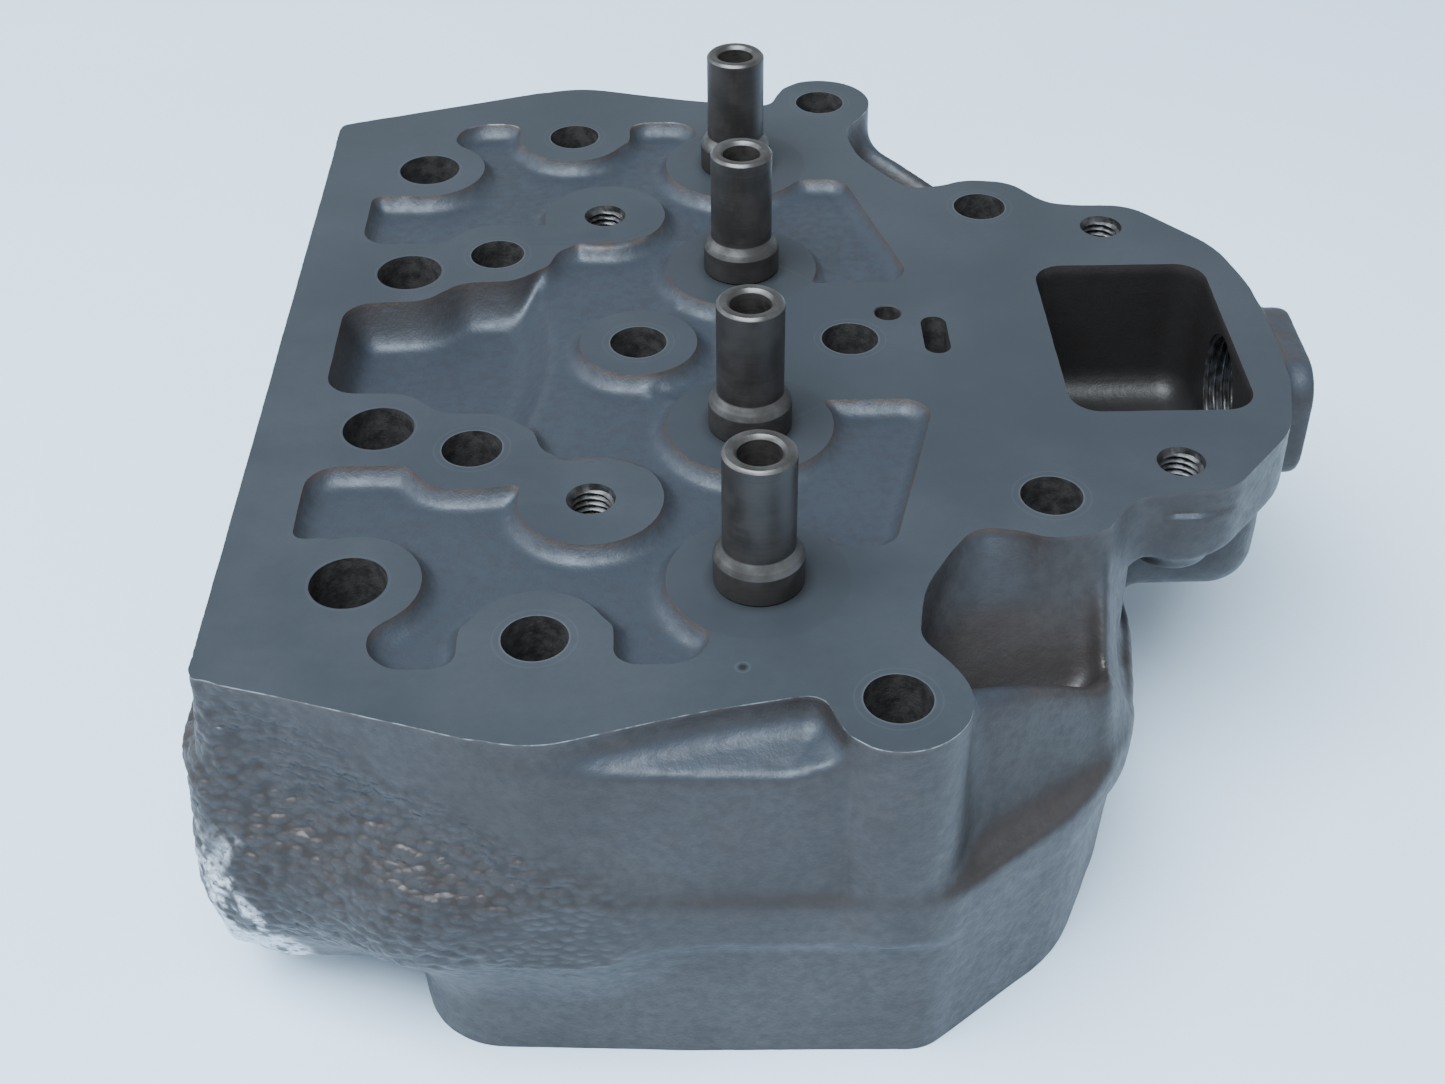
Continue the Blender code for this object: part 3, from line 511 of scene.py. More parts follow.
def coarse_mask(p):
    """Where the sand skin is coarse: the left part of the end walls, fading along the port wall."""
    x, v, z = p[:, 0], np.abs(p[:, 1]), p[:, 2]
    line = 62.0 + np.clip((-25.0 - x) * 0.50, 0.0, 44.0)
    upper = smooth01((line + 3.0 - z) / 9.0)
    lower = smooth01((z - 26.0) / 14.0)
    along = smooth01((-20.0 - x) / 26.0)
    return upper * lower * along * smooth01((v - 100.0) / 16.0)


def skin(p, normal):
    """Offset of the cast surface: coarse lumps where the mould was rough, fine grain elsewhere."""
    coarse = coarse_mask(p)
    warp = np.stack([noise(p, 5.0, 11), noise(p, 5.0, 12), noise(p, 5.0, 13)], 1)
    out = 0.10 * noise(p, 14.0, 21) + 0.05 * noise(p, 5.0, 22)
    out += 0.035 * noise(p, 1.9, 23)
    pick = coarse > 0.01
    q = p[pick] + 0.8 * warp[pick]
    q = q * np.array([0.62, 1.0, 1.05])
    out[pick] += coarse[pick] * (0.46 * grains(q, 2.5, 31) + 0.10 * noise(q, 1.8, 32))
    flat_up = smooth01((normal[:, 2] - 0.5) * 4.0) * smooth01((p[:, 2] - 88.0) / 4.0)
    out += flat_up * (0.05 * noise(p, 1.6, 41) + 0.03 * noise(p, 2.8, 42))
    return out


def quad_mesh(name, points, quads):
    mesh = bpy.data.meshes.new(name)
    mesh.vertices.add(len(points))
    mesh.vertices.foreach_set("co", (points * 0.001).astype(np.float32).ravel())
    mesh.loops.add(len(quads) * 4)
    mesh.loops.foreach_set("vertex_index", quads.astype(np.int32).ravel())
    mesh.polygons.add(len(quads))
    mesh.polygons.foreach_set("loop_start", np.arange(0, len(quads) * 4, 4, dtype=np.int32))
    mesh.update(calc_edges=True)
    mesh.validate()
    return mesh


def link(name, data):
    obj = bpy.data.objects.new(name, data)
    bpy.context.scene.collection.objects.link(obj)
    return obj


def solid_object(name, verts, faces, mats, weld=False):
    """Closed object from points in millimetres, faces outward; weld closes a body at its axis."""
    mesh = bpy.data.meshes.new(name)
    mesh.from_pydata([(x * 0.001, y * 0.001, z * 0.001) for x, y, z in verts], [], faces)
    bm = bmesh.new()
    bm.from_mesh(mesh)
    if weld:
        bmesh.ops.remove_doubles(bm, verts=bm.verts, dist=0.00002)
        bmesh.ops.holes_fill(bm, edges=bm.edges, sides=0)
    bmesh.ops.recalc_face_normals(bm, faces=bm.faces)
    bm.to_mesh(mesh)
    bm.free()
    for m in mats:
        mesh.materials.append(m)
    return link(name, mesh)


# ---------------- machining tools
class Cutter:
    """Collects closed shapes that don't touch each other into one cutting mesh."""

    def __init__(self):
        self.verts = []
        self.faces = []

    def rings(self, loops):
        """Closed body through a chain of rings of equal point count."""
        base = len(self.verts)
        n = len(loops[0])
        for loop in loops:
            self.verts += [tuple(p) for p in loop]
        for r in range(len(loops) - 1):
            for i in range(n):
                j = (i + 1) % n
                a = base + r * n
                self.faces.append((a + i, a + j, a + n + j, a + n + i))
        self.faces.append(tuple(base + i for i in reversed(range(n))))
        last = base + (len(loops) - 1) * n
        self.faces.append(tuple(last + i for i in range(n)))

    def box(self, lo, hi):
        square = [(lo[0], lo[1]), (hi[0], lo[1]), (hi[0], hi[1]), (lo[0], hi[1])]
        self.rings([[(x, y, lo[2]) for x, y in square], [(x, y, hi[2]) for x, y in square]])

    def turned(self, levels, steps, place, radius=None):
        """Body turned round an axis; levels are (radius, height); radius(angle, height) adds to it."""
        loops = []
        for r, h in levels:
            loop = []
            for i in range(steps):
                a = 2.0 * math.pi * i / steps
                rr = r + (radius(a, h) if radius else 0.0)
                loop.append(place((rr * math.cos(a), rr * math.sin(a), h)))
            loops.append(loop)
        self.rings(loops)

    def object(self, name, slots, slot):
        tool = solid_object(name, self.verts, self.faces, slots)
        polygons = tool.data.polygons
        polygons.foreach_set("material_index", np.full(len(polygons), slot, np.int32))
        return tool


def upright(x, y, z=0.0):
    return lambda p: (x + p[0], y + p[1], z + p[2])


def sideways(x, y, z, toward=1.0):
    """Local height runs along +X, or along -X where toward is -1."""
    return lambda p: (x + toward * p[2], y + p[0], z + p[1])


def cut(target, cutter, name, slot):
    tool = cutter.object(name, list(target.data.materials), slot)
    mod = target.modifiers.new("cut", "BOOLEAN")
    mod.operation = "DIFFERENCE"
    mod.solver = "MANIFOLD"
    mod.object = tool
    bpy.context.view_layer.update()
    graph = bpy.context.evaluated_depsgraph_get()
    mesh = bpy.data.meshes.new_from_object(target.evaluated_get(graph))
    target.modifiers.clear()
    old = target.data
    target.data = mesh
    bpy.data.meshes.remove(old)
    bpy.data.objects.remove(tool)


def spread(start, stop, step):
    n = max(1, int(math.ceil((stop - start) / step)))
    return [start + (stop - start) * i / n for i in range(n + 1)]


def thread(pitch, depth, end):
    """Radius of a tapped thread over its minor radius, by angle and by height up to its end."""
    def shape(a, h):
        if h >= end:
            return 0.0
        t = (h / pitch - a / (2.0 * math.pi)) % 1.0
        return depth * min(1.0, max(0.0, 1.9 * (1.0 - abs(2.0 * t - 1.0)) - 0.35))
    return shape


# ---------------- machining the casting
def bore_wobble(seed):
    """Unevenness of a cored hole's wall, calmer at its mouth."""
    def shape(a, h):
        p = np.array([[9.0 * math.cos(a) + seed * 31.0, 9.0 * math.sin(a), h]])
        calm = 0.35 + 0.65 * min(1.0, max(0.0, (HEIGHT - 1.0 - h) / 5.0))
        return calm * float(0.10 * noise(p, 2.2, 61)[0] + 0.07 * noise(p, 6.0, 62)[0])
    return shape


def machine(obj):
    planes = Cutter()
    planes.box((-150.0, -170.0, HEIGHT), (160.0, 170.0, HEIGHT + 12.0))
    planes.box((-150.0, -170.0, -12.0), (160.0, 170.0, 0.0))
    planes.box((-150.0, -170.0, 1.0), (MANIFOLD_X, 170.0, HEIGHT - 1.0))
    planes.box((BOSS_X, -40.0, 50.0), (160.0, 40.0, HEIGHT - 0.4))
    cut(obj, planes, "planes", 1)

    levels = [-3.0, 0.5, 8.0, 22.0, 45.0, 68.0] + spread(78.0, HEIGHT + 3.0, 1.6)
    bores = Cutter()
    for n, (x, y) in enumerate(STUDS):
        bores.turned([(STUD_R, z) for z in levels], 60, upright(x, y), bore_wobble(n))
    for n, (x, y) in enumerate(PUSHRODS):
        bores.turned([(PUSHROD_R, z) for z in levels], 64, upright(x, y), bore_wobble(n + 20))
    for y in GUIDES:
        bores.turned([(8.55, 42.0), (8.55, HEIGHT + 3.0)], 48, upright(0.0, y))
    oil_hole = [(3.5, 20.0), (3.5, HEIGHT - 0.3), (3.9, HEIGHT + 0.1), (3.9, HEIGHT + 3.0)]
    bores.turned(oil_hole, 32, upright(38.4, 12.4))
    slot = fillet([(46.6, -7.6, 3.4), (53.4, -7.6, 3.4), (53.4, 10.0, 3.4), (46.6, 10.0, 3.4)], 15.0)
    bores.rings([[(x, y, z) for x, y in slot] for z in (64.0, HEIGHT + 3.0)])
    for y, z in ((66.0, 66.0), (-66.0, 66.0)):
        bores.turned([(13.3, -160.0), (13.3, -117.0)], 48, sideways(0.0, y, z))
    for y, z in ((20.5, 25.0), (-20.5, 25.0)):
        bores.turned([(13.3, 85.0), (13.3, 130.0)], 48, sideways(0.0, y, z))
    face = MANIFOLD_X
    flange_hole = [(5.9, face - 4.0), (5.9, face), (4.75, face + 1.1), (4.75, face + 20.0)]
    for y in (-110.0, 0.0, 110.0):
        for z in (25.0, 75.0):
            bores.turned(flange_hole, 32, sideways(0.0, y, z))
    cut(obj, bores, "bores", 2)

    tapped = Cutter()
    for x, y in STAND_HOLES + OUTLET_HOLES:
        deep = 26.0 if x < 0.0 else 18.0
        steps = spread(HEIGHT - deep, HEIGHT - 1.6, 0.22)
        tapped.turned([(4.75, z) for z in steps] + [(5.9, HEIGHT), (5.9, HEIGHT + 3.0)], 40, upright(x, y),
                      thread(1.75, 0.85, HEIGHT - 1.5))
    steps = spread(120.0, BOSS_X - 1.6, 0.3)
    side_hole = [(14.5, x) for x in steps] + [(15.8, BOSS_X), (15.8, BOSS_X + 4.0)]
    tapped.turned(side_hole, 72, sideways(0.0, 0.0, BOSS_Z), thread(2.0, 0.95, BOSS_X - 1.5))
    cut(obj, tapped, "tapped", 3)

    last = Cutter()
    last.turned([(3.0, 37.0), (3.0, 87.0), (5.9, 87.1), (5.9, 120.0)], 32, sideways(0.0, 12.4, 44.0))
    plug_hole = [(6.9, 33.0), (6.9, 77.0), (7.6, 78.0), (12.0, 78.05), (12.0, 125.0)]
    for s in (-1.0, 1.0):
        last.turned(plug_hole, 48, sideways(0.0, 48.0 * s, 23.0))
        for y, r in ((96.8 * s, 19.8), (37.4 * s, 21.8)):
            last.turned([(r, 12.0), (r, 22.3)], 72, upright(0.0, y))
    last.turned([(4.5, -4.0), (4.5, 66.0)], 32, upright(86.5, 0.0))
    cut(obj, last, "last", 2)


def build_casting(mats):
    grid = Grid(CELL)
    f = cast_field(grid)
    full = np.concatenate([f[:, ::-1], f], axis=1)
    ys = np.concatenate([-grid.v[::-1], grid.v])
    # the second half of the array holds y > 0; both halves are alike
    points, quads = surface_net(full, grid.x, ys, grid.z)
    points = smooth_net(points, quads, 2)
    normal = net_normals(points, quads)
    points = points + normal * skin(points, normal)[:, None]
    points[:, 1] = np.clip(points[:, 1], -153.0, 153.0)
    mesh = quad_mesh("casting", points, quads)
    for m in mats:
        mesh.materials.append(m)
    obj = link("casting", mesh)
    machine(obj)
    return obj


def shade(obj, angle=38.0):
    """Smooth shading with crisp edges at the machined corners; machined planes stay flat."""
    mesh = obj.data
    slots = np.zeros(len(mesh.polygons), dtype=np.int32)
    mesh.polygons.foreach_get("material_index", slots)
    mesh.polygons.foreach_set("use_smooth", slots != 1)
    mesh.set_sharp_from_angle(angle=math.radians(angle))


def stencil(obj):
    """Vertex masks of the casting: scuffed paint, rust, painted shade inside the cored spaces, coarse skin.
    """
    mesh = obj.data
    p = np.empty(len(mesh.vertices) * 3)
    mesh.vertices.foreach_get("co", p)
    p = p.reshape(-1, 3) * 1000.0
    x, y, z = p[:, 0], p[:, 1], p[:, 2]
    v = np.abs(y)
    rough = noise(p, 3.0, 71) * 0.6 + noise(p, 9.0, 72) * 0.5
    # pale scrape on the near corner of the port wall
    scuff = smooth01((-115.5 + 0.34 * np.clip(56.0 - z, 0.0, 40.0) - x + 3.0 * rough) / 4.0)
    scuff *= smooth01((-y - 112.0) / 10.0) * smooth01((68.0 - z + 8.0 * rough) / 14.0)
    scuff *= smooth01((z - 13.0 + 4.0 * rough) / 6.0)
    streak = noise(p * np.array([1.0, 1.0, 0.35]), 2.6, 73) * 0.7 + noise(p, 1.3, 74) * 0.4
    scuff *= smooth01((streak + 0.12 + 0.5 * smooth01((38.0 - z) / 12.0)) / 0.45)
    rust = smooth01((noise(p, 16.0, 75) * 0.7 + noise(p, 5.0, 76) * 0.5 - 0.22) / 0.5)
    rust *= 0.55 * smooth01((v - 100.0) / 10.0) + 0.35 * smooth01((z - 80.0) / 10.0)
    crease = np.exp(-((x - 16.0 - 2.0 * noise(p, 12.0, 77)) / 1.6) ** 2) * smooth01((-y - 120.0) / 6.0)
    rust = np.maximum(rust, crease * smooth01((78.0 - z) / 10.0) * (0.5 + 0.6 * noise(p, 4.0, 78)))
    # painted shade: the coolant chamber and the port bores and passages are darkened inside, the combustion
    # chamber about half as much
    inside = smooth01((x - 78.0) / 2.0) * smooth01((128.8 - x) / 1.2) * smooth01((36.6 - v) / 1.2)
    inside *= smooth01((z - 59.0) / 2.0) * smooth01((103.2 - z) / 3.0)
    bore = np.zeros(len(p))
    for yy, half in ((110.0, 17.5), (0.0, 21.0)):
        d = np.maximum(np.abs(v - yy) - half, np.abs(z - 50.0) - 18.0)
        bore = np.maximum(bore, smooth01((0.5 - d) / 1.0) * smooth01((x + 127.6) / 5.0) * (x < -95.0))
    deep = smooth01((z - 12.0) / 3.0) * smooth01((68.0 - z) / 2.0) * (x > -96.0) * (v < 118.0) * (x < 60.0)
    inside = np.clip(np.maximum(np.maximum(inside, bore), deep * (v > 8.0) * (v < 122.0)), 0.0, 1.0)
    chamber = smooth01((16.5 - z) / 1.0) * (x > -45.0) * (x < 48.0) * smooth01((z - 0.2) / 1.5) * (v < 123.0)
    painted_shade = np.maximum(inside, 0.55 * chamber)
    # channels: scuffed paint, rust, painted shade inside the cored spaces, coarse skin
    layer = mesh.attributes.new("skin", "FLOAT_COLOR", "POINT")
    data = np.stack([scuff, rust, painted_shade, coarse_mask(p)], 1).astype(np.float32)
    layer.data.foreach_set("color", np.clip(data, 0.0, 1.0).ravel())


# ---------------- fitted pieces
def revolved(name, profile, steps, place, mats, closed=True):
    """Body turned from a profile of points (r, height), closed or running from axis to axis."""
    verts, faces = [], []
    n = len(profile)
    for r, h in profile:
        for i in range(steps):
            a = 2.0 * math.pi * i / steps
            verts.append(place((r * math.cos(a), r * math.sin(a), h)))
    for j in range(n if closed else n - 1):
        k = (j + 1) % n
        for i in range(steps):
            m = (i + 1) % steps
            faces.append((j * steps + i, j * steps + m, k * steps + m, k * steps + i))
    return solid_object(name, verts, faces, mats, weld=not closed)


def guide_piece(name, y, mats):
    top = HEIGHT + 35.3
    collar = HEIGHT + 8.1
    corners = [(5.0, 60.0, 0.0), (6.65, 60.0, 0.2), (8.25, 62.5, 0.4), (8.25, HEIGHT + 0.3, 0.0),
               (10.3, HEIGHT + 0.3, 0.25), (10.3, collar - 1.0, 0.35), (9.55, collar + 0.4, 0.3),
               (8.25, collar + 2.2, 0.9), (8.25, top - 0.75, 0.25), (7.5, top, 0.2), (5.85, top, 0.15),
               (5.0, top - 0.95, 0.2)]
    obj = revolved(name, fillet(corners, 22.0), 96, upright(0.0, y), mats)
    for poly in obj.data.polygons:
        c, n = poly.center * 1000.0, poly.normal
        r = math.hypot(c.x, c.y - y)
        if c.z > top - 1.2 and (n.z > 0.5 or r < 5.9):
            poly.material_index = 1
        elif c.z > HEIGHT + 5.0 and n.z > 0.25:
            poly.material_index = 1
        elif r < 5.2:
            poly.material_index = 2
    shade(obj, 32.0)
    return obj


def seat_piece(name, y, r, mats):
    z0, z1 = 15.2, 22.0
    corners = [(r - 5.0, z0 + 3.4, 0.15), (r - 2.9, z0 + 0.9, 0.2), (r - 1.9, z0, 0.2), (r, z0, 0.3),
               (r, z1 - 0.6, 0.2), (r - 0.6, z1, 0.2), (r - 5.0, z1, 0.4)]
    obj = revolved(name, fillet(corners, 22.0), 96, upright(0.0, y), mats)
    for poly in obj.data.polygons:
        c = poly.center * 1000.0
        if poly.normal.z < -0.3 and math.hypot(c.x, c.y - y) < r - 2.6:
            poly.material_index = 1
    shade(obj, 30.0)
    return obj


def cup_piece(name, x, y, z, toward, mat):
    r, h, wall = 13.0, 8.0, 1.4
    line = [(0.0, 0.0), (r * 0.35, 0.08), (r * 0.6, 0.25), (r - 1.6, 0.5), (r - 0.9, 0.75), (r - 0.4, 1.3),
            (r - 0.1, 1.9), (r, 2.6), (r, h - 0.3), (r - 0.3, h), (r - wall + 0.3, h), (r - wall, h - 0.3),
            (r - wall, 3.2), (r - wall - 0.25, 2.5), (r - wall - 0.8, 2.05), (r * 0.6, 1.75),
            (r * 0.35, 1.58), (0.0, 1.5)]
    obj = revolved(name, line, 72, sideways(x, y, z, toward), [mat], closed=False)
    shade(obj, 35.0)
    return obj


def gallery_piece(name, mat):
    r, place = 5.6, sideways(87.6, 12.4, 44.0)
    line = [(0.0, 0.0), (r - 0.6, 0.0), (r, 0.8), (r, 8.2), (r - 0.5, 8.8), (0.0, 8.8)]
    obj = revolved(name, line, 48, place, [mat], closed=False)
    square = fillet([(-2.6, -2.6, 0.4), (2.6, -2.6, 0.4), (2.6, 2.6, 0.4), (-2.6, 2.6, 0.4)], 30.0)
    recess = Cutter()
    recess.rings([[place((a, b, h)) for a, b in square] for h in (4.0, 12.0)])
    cut(obj, recess, "recess", 0)
    shade(obj, 30.0)
    return obj


# ---------------- materials
class Nodes:
    """Short hand for building the node tree of one material, or of the world."""

    def __init__(self, name, world=False):
        self.home = (bpy.data.worlds if world else bpy.data.materials).new(name)
        self.home.use_nodes = True
        self.tree = self.home.node_tree
        self.bsdf = self.tree.nodes.get("Principled BSDF")
        self.coordinates = self.new("TexCoord").outputs
        self.place = self.coordinates["Object"]

    def put(self, socket, value):
        if isinstance(value, bpy.types.NodeSocket):
            self.tree.links.new(value, socket)
        elif value is not None:
            socket.default_value = value

    def new(self, kind, feeds=None, **settings):
        """Node with its settings, and with its input sockets fed by name or number."""
        node = self.tree.nodes.new("ShaderNode" + kind)
        for key, value in settings.items():
            setattr(node, key, value)
        for key, value in (feeds or {}).items():
            self.put(node.inputs[key], value)
        return node

    def math(self, op, a, b=None):
        return self.new("Math", {0: a, 1: b}, operation=op).outputs[0]

    def times(self, a, b):
        return self.math("MULTIPLY", a, b)

    def stretch(self, sx, sy, sz):
        return self.new("Mapping", {"Vector": self.place, "Scale": (sx, sy, sz)}).outputs[0]

    def noise(self, size_mm, detail=3.0, rough=0.55, where=None, seed=0.0):
        feeds = {"Vector": where or self.place, "W": seed, "Scale": 1000.0 / size_mm, "Detail": detail,
                 "Roughness": rough}
        return self.new("TexNoise", feeds, noise_dimensions="4D").outputs["Fac"]

    def ramp(self, value, low, high, out_low=0.0, out_high=1.0):
        feeds = {"Value": value, "From Min": low, "From Max": high, "To Min": out_low, "To Max": out_high}
        return self.new("MapRange", feeds, interpolation_type="SMOOTHSTEP").outputs[0]

    def mix(self, factor, a, b):
        node = self.new("Mix", {"Factor": factor}, data_type="RGBA")
        for key, value in (("A", a), ("B", b)):
            socket = [s for s in node.inputs if s.name == key and s.type == "RGBA"][0]
            self.put(socket, (*value, 1.0) if isinstance(value, tuple) else value)
        return [s for s in node.outputs if s.type == "RGBA"][0]

    def xyz(self):
        return [self.times(out, 1000.0) for out in self.new("SeparateXYZ", {0: self.place}).outputs]

    def near(self, x, y, spots):
        """Plan distance in mm to the nearest of some points."""
        best = None
        for cx, cy in spots:
            dx = self.math("SUBTRACT", x, cx)
            dy = self.math("SUBTRACT", y, cy)
            d = self.math("SQRT", self.math("ADD", self.times(dx, dx), self.times(dy, dy)))
            best = d if best is None else self.math("MINIMUM", best, d)
        return best

    def bump(self, height, strength, distance_mm):
        node = self.new("Bump", {"Strength": strength, "Distance": distance_mm * 0.001, "Height": height})
        self.put(self.bsdf.inputs["Normal"], node.outputs[0])

    def finish(self, colour, rough, metal, specular=0.5):
        for key, value in (("Base Color", colour), ("Roughness", rough), ("Metallic", metal),
                           ("Specular IOR Level", specular)):
            self.put(self.bsdf.inputs[key], value)
        return self.home


def cast_material():
    n = Nodes("cast skin")
    masks = n.new("Attribute", attribute_name="skin").outputs
    # the third channel of the skin mask is painted shade inside the cored spaces
    scuff, rust, painted_shade = n.new("SeparateColor", {0: masks["Color"]}).outputs
    coarse = masks["Alpha"]
    _, y, z = n.xyz()
    broad = n.noise(38.0, 3.0, 0.6)
    fine = n.noise(2.4, 4.0, 0.6, seed=2.0)
    colour = n.mix(n.ramp(broad, 0.38, 0.64), (0.035, 0.031, 0.031), (0.046, 0.043, 0.044))
    colour = n.mix(n.ramp(fine, 0.30, 0.72, 0.0, 0.22), colour, (0.026, 0.022, 0.021))
    brown = n.ramp(n.noise(9.0, 4.0, 0.65, seed=5.0), 0.42, 0.68)
    colour = n.mix(n.times(rust, brown), colour, (0.046, 0.036, 0.032))
    # painted reflection: cast faces near the top that face upward are tinted lighter and bluer, like sky seen
    # in them
    facing = n.new("SeparateXYZ", {0: n.new("NewGeometry").outputs["Normal"]})
    flat = n.times(n.ramp(z, 84.0, 93.0, 0.0, 0.9), n.ramp(facing.outputs[2], 0.15, 0.7))
    colour = n.mix(flat, colour, (0.036, 0.047, 0.063))
    colour = n.mix(n.ramp(fine, 0.34, 0.70, 0.0, 0.35), colour, (0.022, 0.022, 0.024))
    patchy = n.ramp(n.noise(7.0, 2.0, seed=8.0), 0.35, 0.6, 0.3, 0.9)
    lip = n.times(n.ramp(z, 102.6, 103.5), patchy)
    colour = n.mix(lip, colour, (0.050, 0.040, 0.037))
    # painted highlight: a thin, broken bright line just under the top edge of the end walls
    broken = n.ramp(n.noise(4.0, 3.0, seed=9.0), 0.40, 0.62, 0.1, 0.8)
    edge = n.times(n.ramp(z, 103.55, 103.85), broken)
    edge = n.times(edge, n.ramp(n.math("ABSOLUTE", y), 121.0, 126.0))
    colour = n.mix(edge, colour, (0.30, 0.32, 0.34))
    colour = n.mix(n.times(scuff, n.ramp(n.noise(1.6, 4.0, 0.7, seed=11.0), 0.30, 0.55)), colour,
                   (0.58, 0.62, 0.68))
    # painted shade: the cored spaces are darkened to near black inside
    colour = n.mix(n.times(painted_shade, 0.86), colour, (0.016, 0.015, 0.015))
    rough = n.ramp(fine, 0.3, 0.7, 0.42, 0.52)
    grit = n.math("ADD", n.times(n.noise(1.1, 3.0, 0.6, seed=3.0), 0.6),
                  n.times(n.noise(0.5, 2.0, 0.6, seed=4.0), 0.3))
    feeds = {"Vector": n.stretch(0.66, 0.9, 1.0), "Scale": 1000.0 / 2.0, "Smoothness": 0.25}
    lumps = n.new("TexVoronoi", feeds, feature="SMOOTH_F1").outputs["Distance"]
    crown = n.ramp(lumps, 0.10, 0.72, 1.0, 0.0)
    # painted shade: the creases between the coarse lumps are darkened
    crease = n.times(n.ramp(lumps, 0.45, 0.75), coarse)
    colour = n.mix(n.times(crease, 0.40), colour, (0.016, 0.013, 0.012))
    # painted highlight: the crowns of the coarse lumps are tinted lighter and bluer; the same crowns also
    # feed the bump below
    colour = n.mix(n.times(n.times(crown, coarse), 0.14), colour, (0.075, 0.082, 0.098))
    n.bump(n.math("ADD", n.times(grit, 0.55), n.times(crown, coarse)), 0.9, 0.34)
    return n.finish(colour, rough, 0.30, 0.38)


def machined_material():
    n = Nodes("machined iron")
    x, y, _ = n.xyz()
    broad = n.noise(55.0, 4.0, 0.6, seed=1.0)
    fine = n.noise(1.3, 3.0, 0.7, seed=2.0)
    colour = n.mix(n.ramp(broad, 0.35, 0.66), (0.040, 0.050, 0.062), (0.050, 0.061, 0.075))
    colour = n.mix(n.ramp(fine, 0.32, 0.74, 0.0, 0.25), colour, (0.034, 0.041, 0.050))
    holes = n.near(x, y, STUDS + PUSHRODS)
    ring = n.times(n.ramp(holes, 9.05, 9.25), n.ramp(holes, 9.35, 9.6, 1.0, 0.0))
    colour = n.mix(n.times(ring, 0.05), colour, (0.24, 0.27, 0.30))
    brim = n.ramp(holes, 7.45, 8.0, 0.18, 0.0)
    colour = n.mix(brim, colour, (0.20, 0.225, 0.25))
    pads = n.near(x, y, [(0.0, g) for g in GUIDES])
    disc = n.ramp(pads, 20.4, 20.9, 1.0, 0.0)
    colour = n.mix(n.times(disc, 0.35), colour, (0.034, 0.040, 0.048))
    # painted shade: the machined face darkens round the foot of each guide
    collar = n.ramp(pads, 10.2, 13.5, 0.5, 0.0)
    colour = n.mix(collar, colour, (0.020, 0.021, 0.024))
    lanes = n.noise(3.2, 2.0, 0.5, where=n.stretch(0.16, 1.0, 1.0), seed=6.0)
    rough = n.math("ADD", n.ramp(broad, 0.3, 0.7, 0.40, 0.48), n.times(lanes, 0.06))
    marks = n.noise(0.5, 2.0, 0.6, where=n.stretch(0.08, 1.0, 1.0), seed=7.0)
    n.bump(n.math("ADD", marks, n.times(n.noise(0.6, 2.0, seed=12.0), 0.8)), 0.30, 0.03)
    # painted shade and highlight: a dark dot stands for the small dimple at (-4.5, -126.2), which the mesh
    # doesn't have, with a painted highlight on a ring round it
    mark = n.near(x, y, [(-4.5, -126.2)])
    colour = n.mix(n.times(n.ramp(mark, 0.5, 1.3, 1.0, 0.0), 0.8), colour, (0.012, 0.013, 0.015))
    halo = n.times(n.ramp(mark, 1.2, 1.5), n.ramp(mark, 1.6, 2.0, 0.12, 0.0))
    colour = n.mix(halo, colour, (0.16, 0.18, 0.20))
    return n.finish(colour, rough, 0.45, 0.45)


def bore_material():
    n = Nodes("rough bore")
    patch = n.noise(3.5, 4.0, 0.65, seed=1.0)
    colour = n.mix(n.ramp(patch, 0.35, 0.65), (0.014, 0.013, 0.013), (0.034, 0.033, 0.033))
    n.bump(n.noise(1.1, 4.0, 0.7, seed=2.0), 0.8, 0.25)
    return n.finish(colour, n.ramp(patch, 0.3, 0.7, 0.62, 0.8), 0.15, 0.4)


def thread_material():
    n = Nodes("tapped thread")
    patch = n.noise(2.5, 3.0, 0.6, seed=1.0)
    colour = n.mix(n.ramp(patch, 0.35, 0.65), (0.040, 0.038, 0.037), (0.085, 0.088, 0.094))
    n.bump(n.noise(0.5, 2.0, 0.6, seed=2.0), 0.3, 0.05)
    return n.finish(colour, n.ramp(patch, 0.3, 0.7, 0.32, 0.46), 0.75, 0.5)


def turned_material(name, dark, light, rough, metal, seed):
    """Turned steel or iron with fine rings left by the tool."""
    n = Nodes(name)
    ringing = n.noise(0.6, 2.0, 0.6, where=n.stretch(0.02, 0.02, 1.0), seed=seed)
    cloud = n.noise(7.0, 4.0, 0.6, seed=seed + 1.0)
    mixed = n.math("ADD", n.times(ringing, 0.25), n.times(cloud, 0.75))
    colour = n.mix(n.ramp(mixed, 0.38, 0.62), dark, light)
    n.bump(ringing, 0.22, 0.03)
    return n.finish(colour, n.ramp(cloud, 0.3, 0.7, rough - 0.04, rough + 0.07), metal, 0.5)


def floor_material():
    n = Nodes("pale table")
    cloud = n.noise(260.0, 3.0, 0.55, seed=1.0)
    colour = n.mix(n.ramp(cloud, 0.35, 0.65), (0.64, 0.81, 1.0), (0.66, 0.83, 1.0))
    smudge = n.ramp(n.noise(70.0, 5.0, 0.7, seed=3.0), 0.60, 0.80, 0.0, 0.20)
    colour = n.mix(smudge, colour, (0.60, 0.72, 0.84))
    n.bump(n.noise(30.0, 2.0, seed=5.0), 0.05, 0.2)
    return n.finish(colour, n.ramp(cloud, 0.3, 0.7, 0.50, 0.58), 0.0, 0.3)


# ---------------- assembly
def adopt(obj, node):
    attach(obj, "root")
    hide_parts(node)


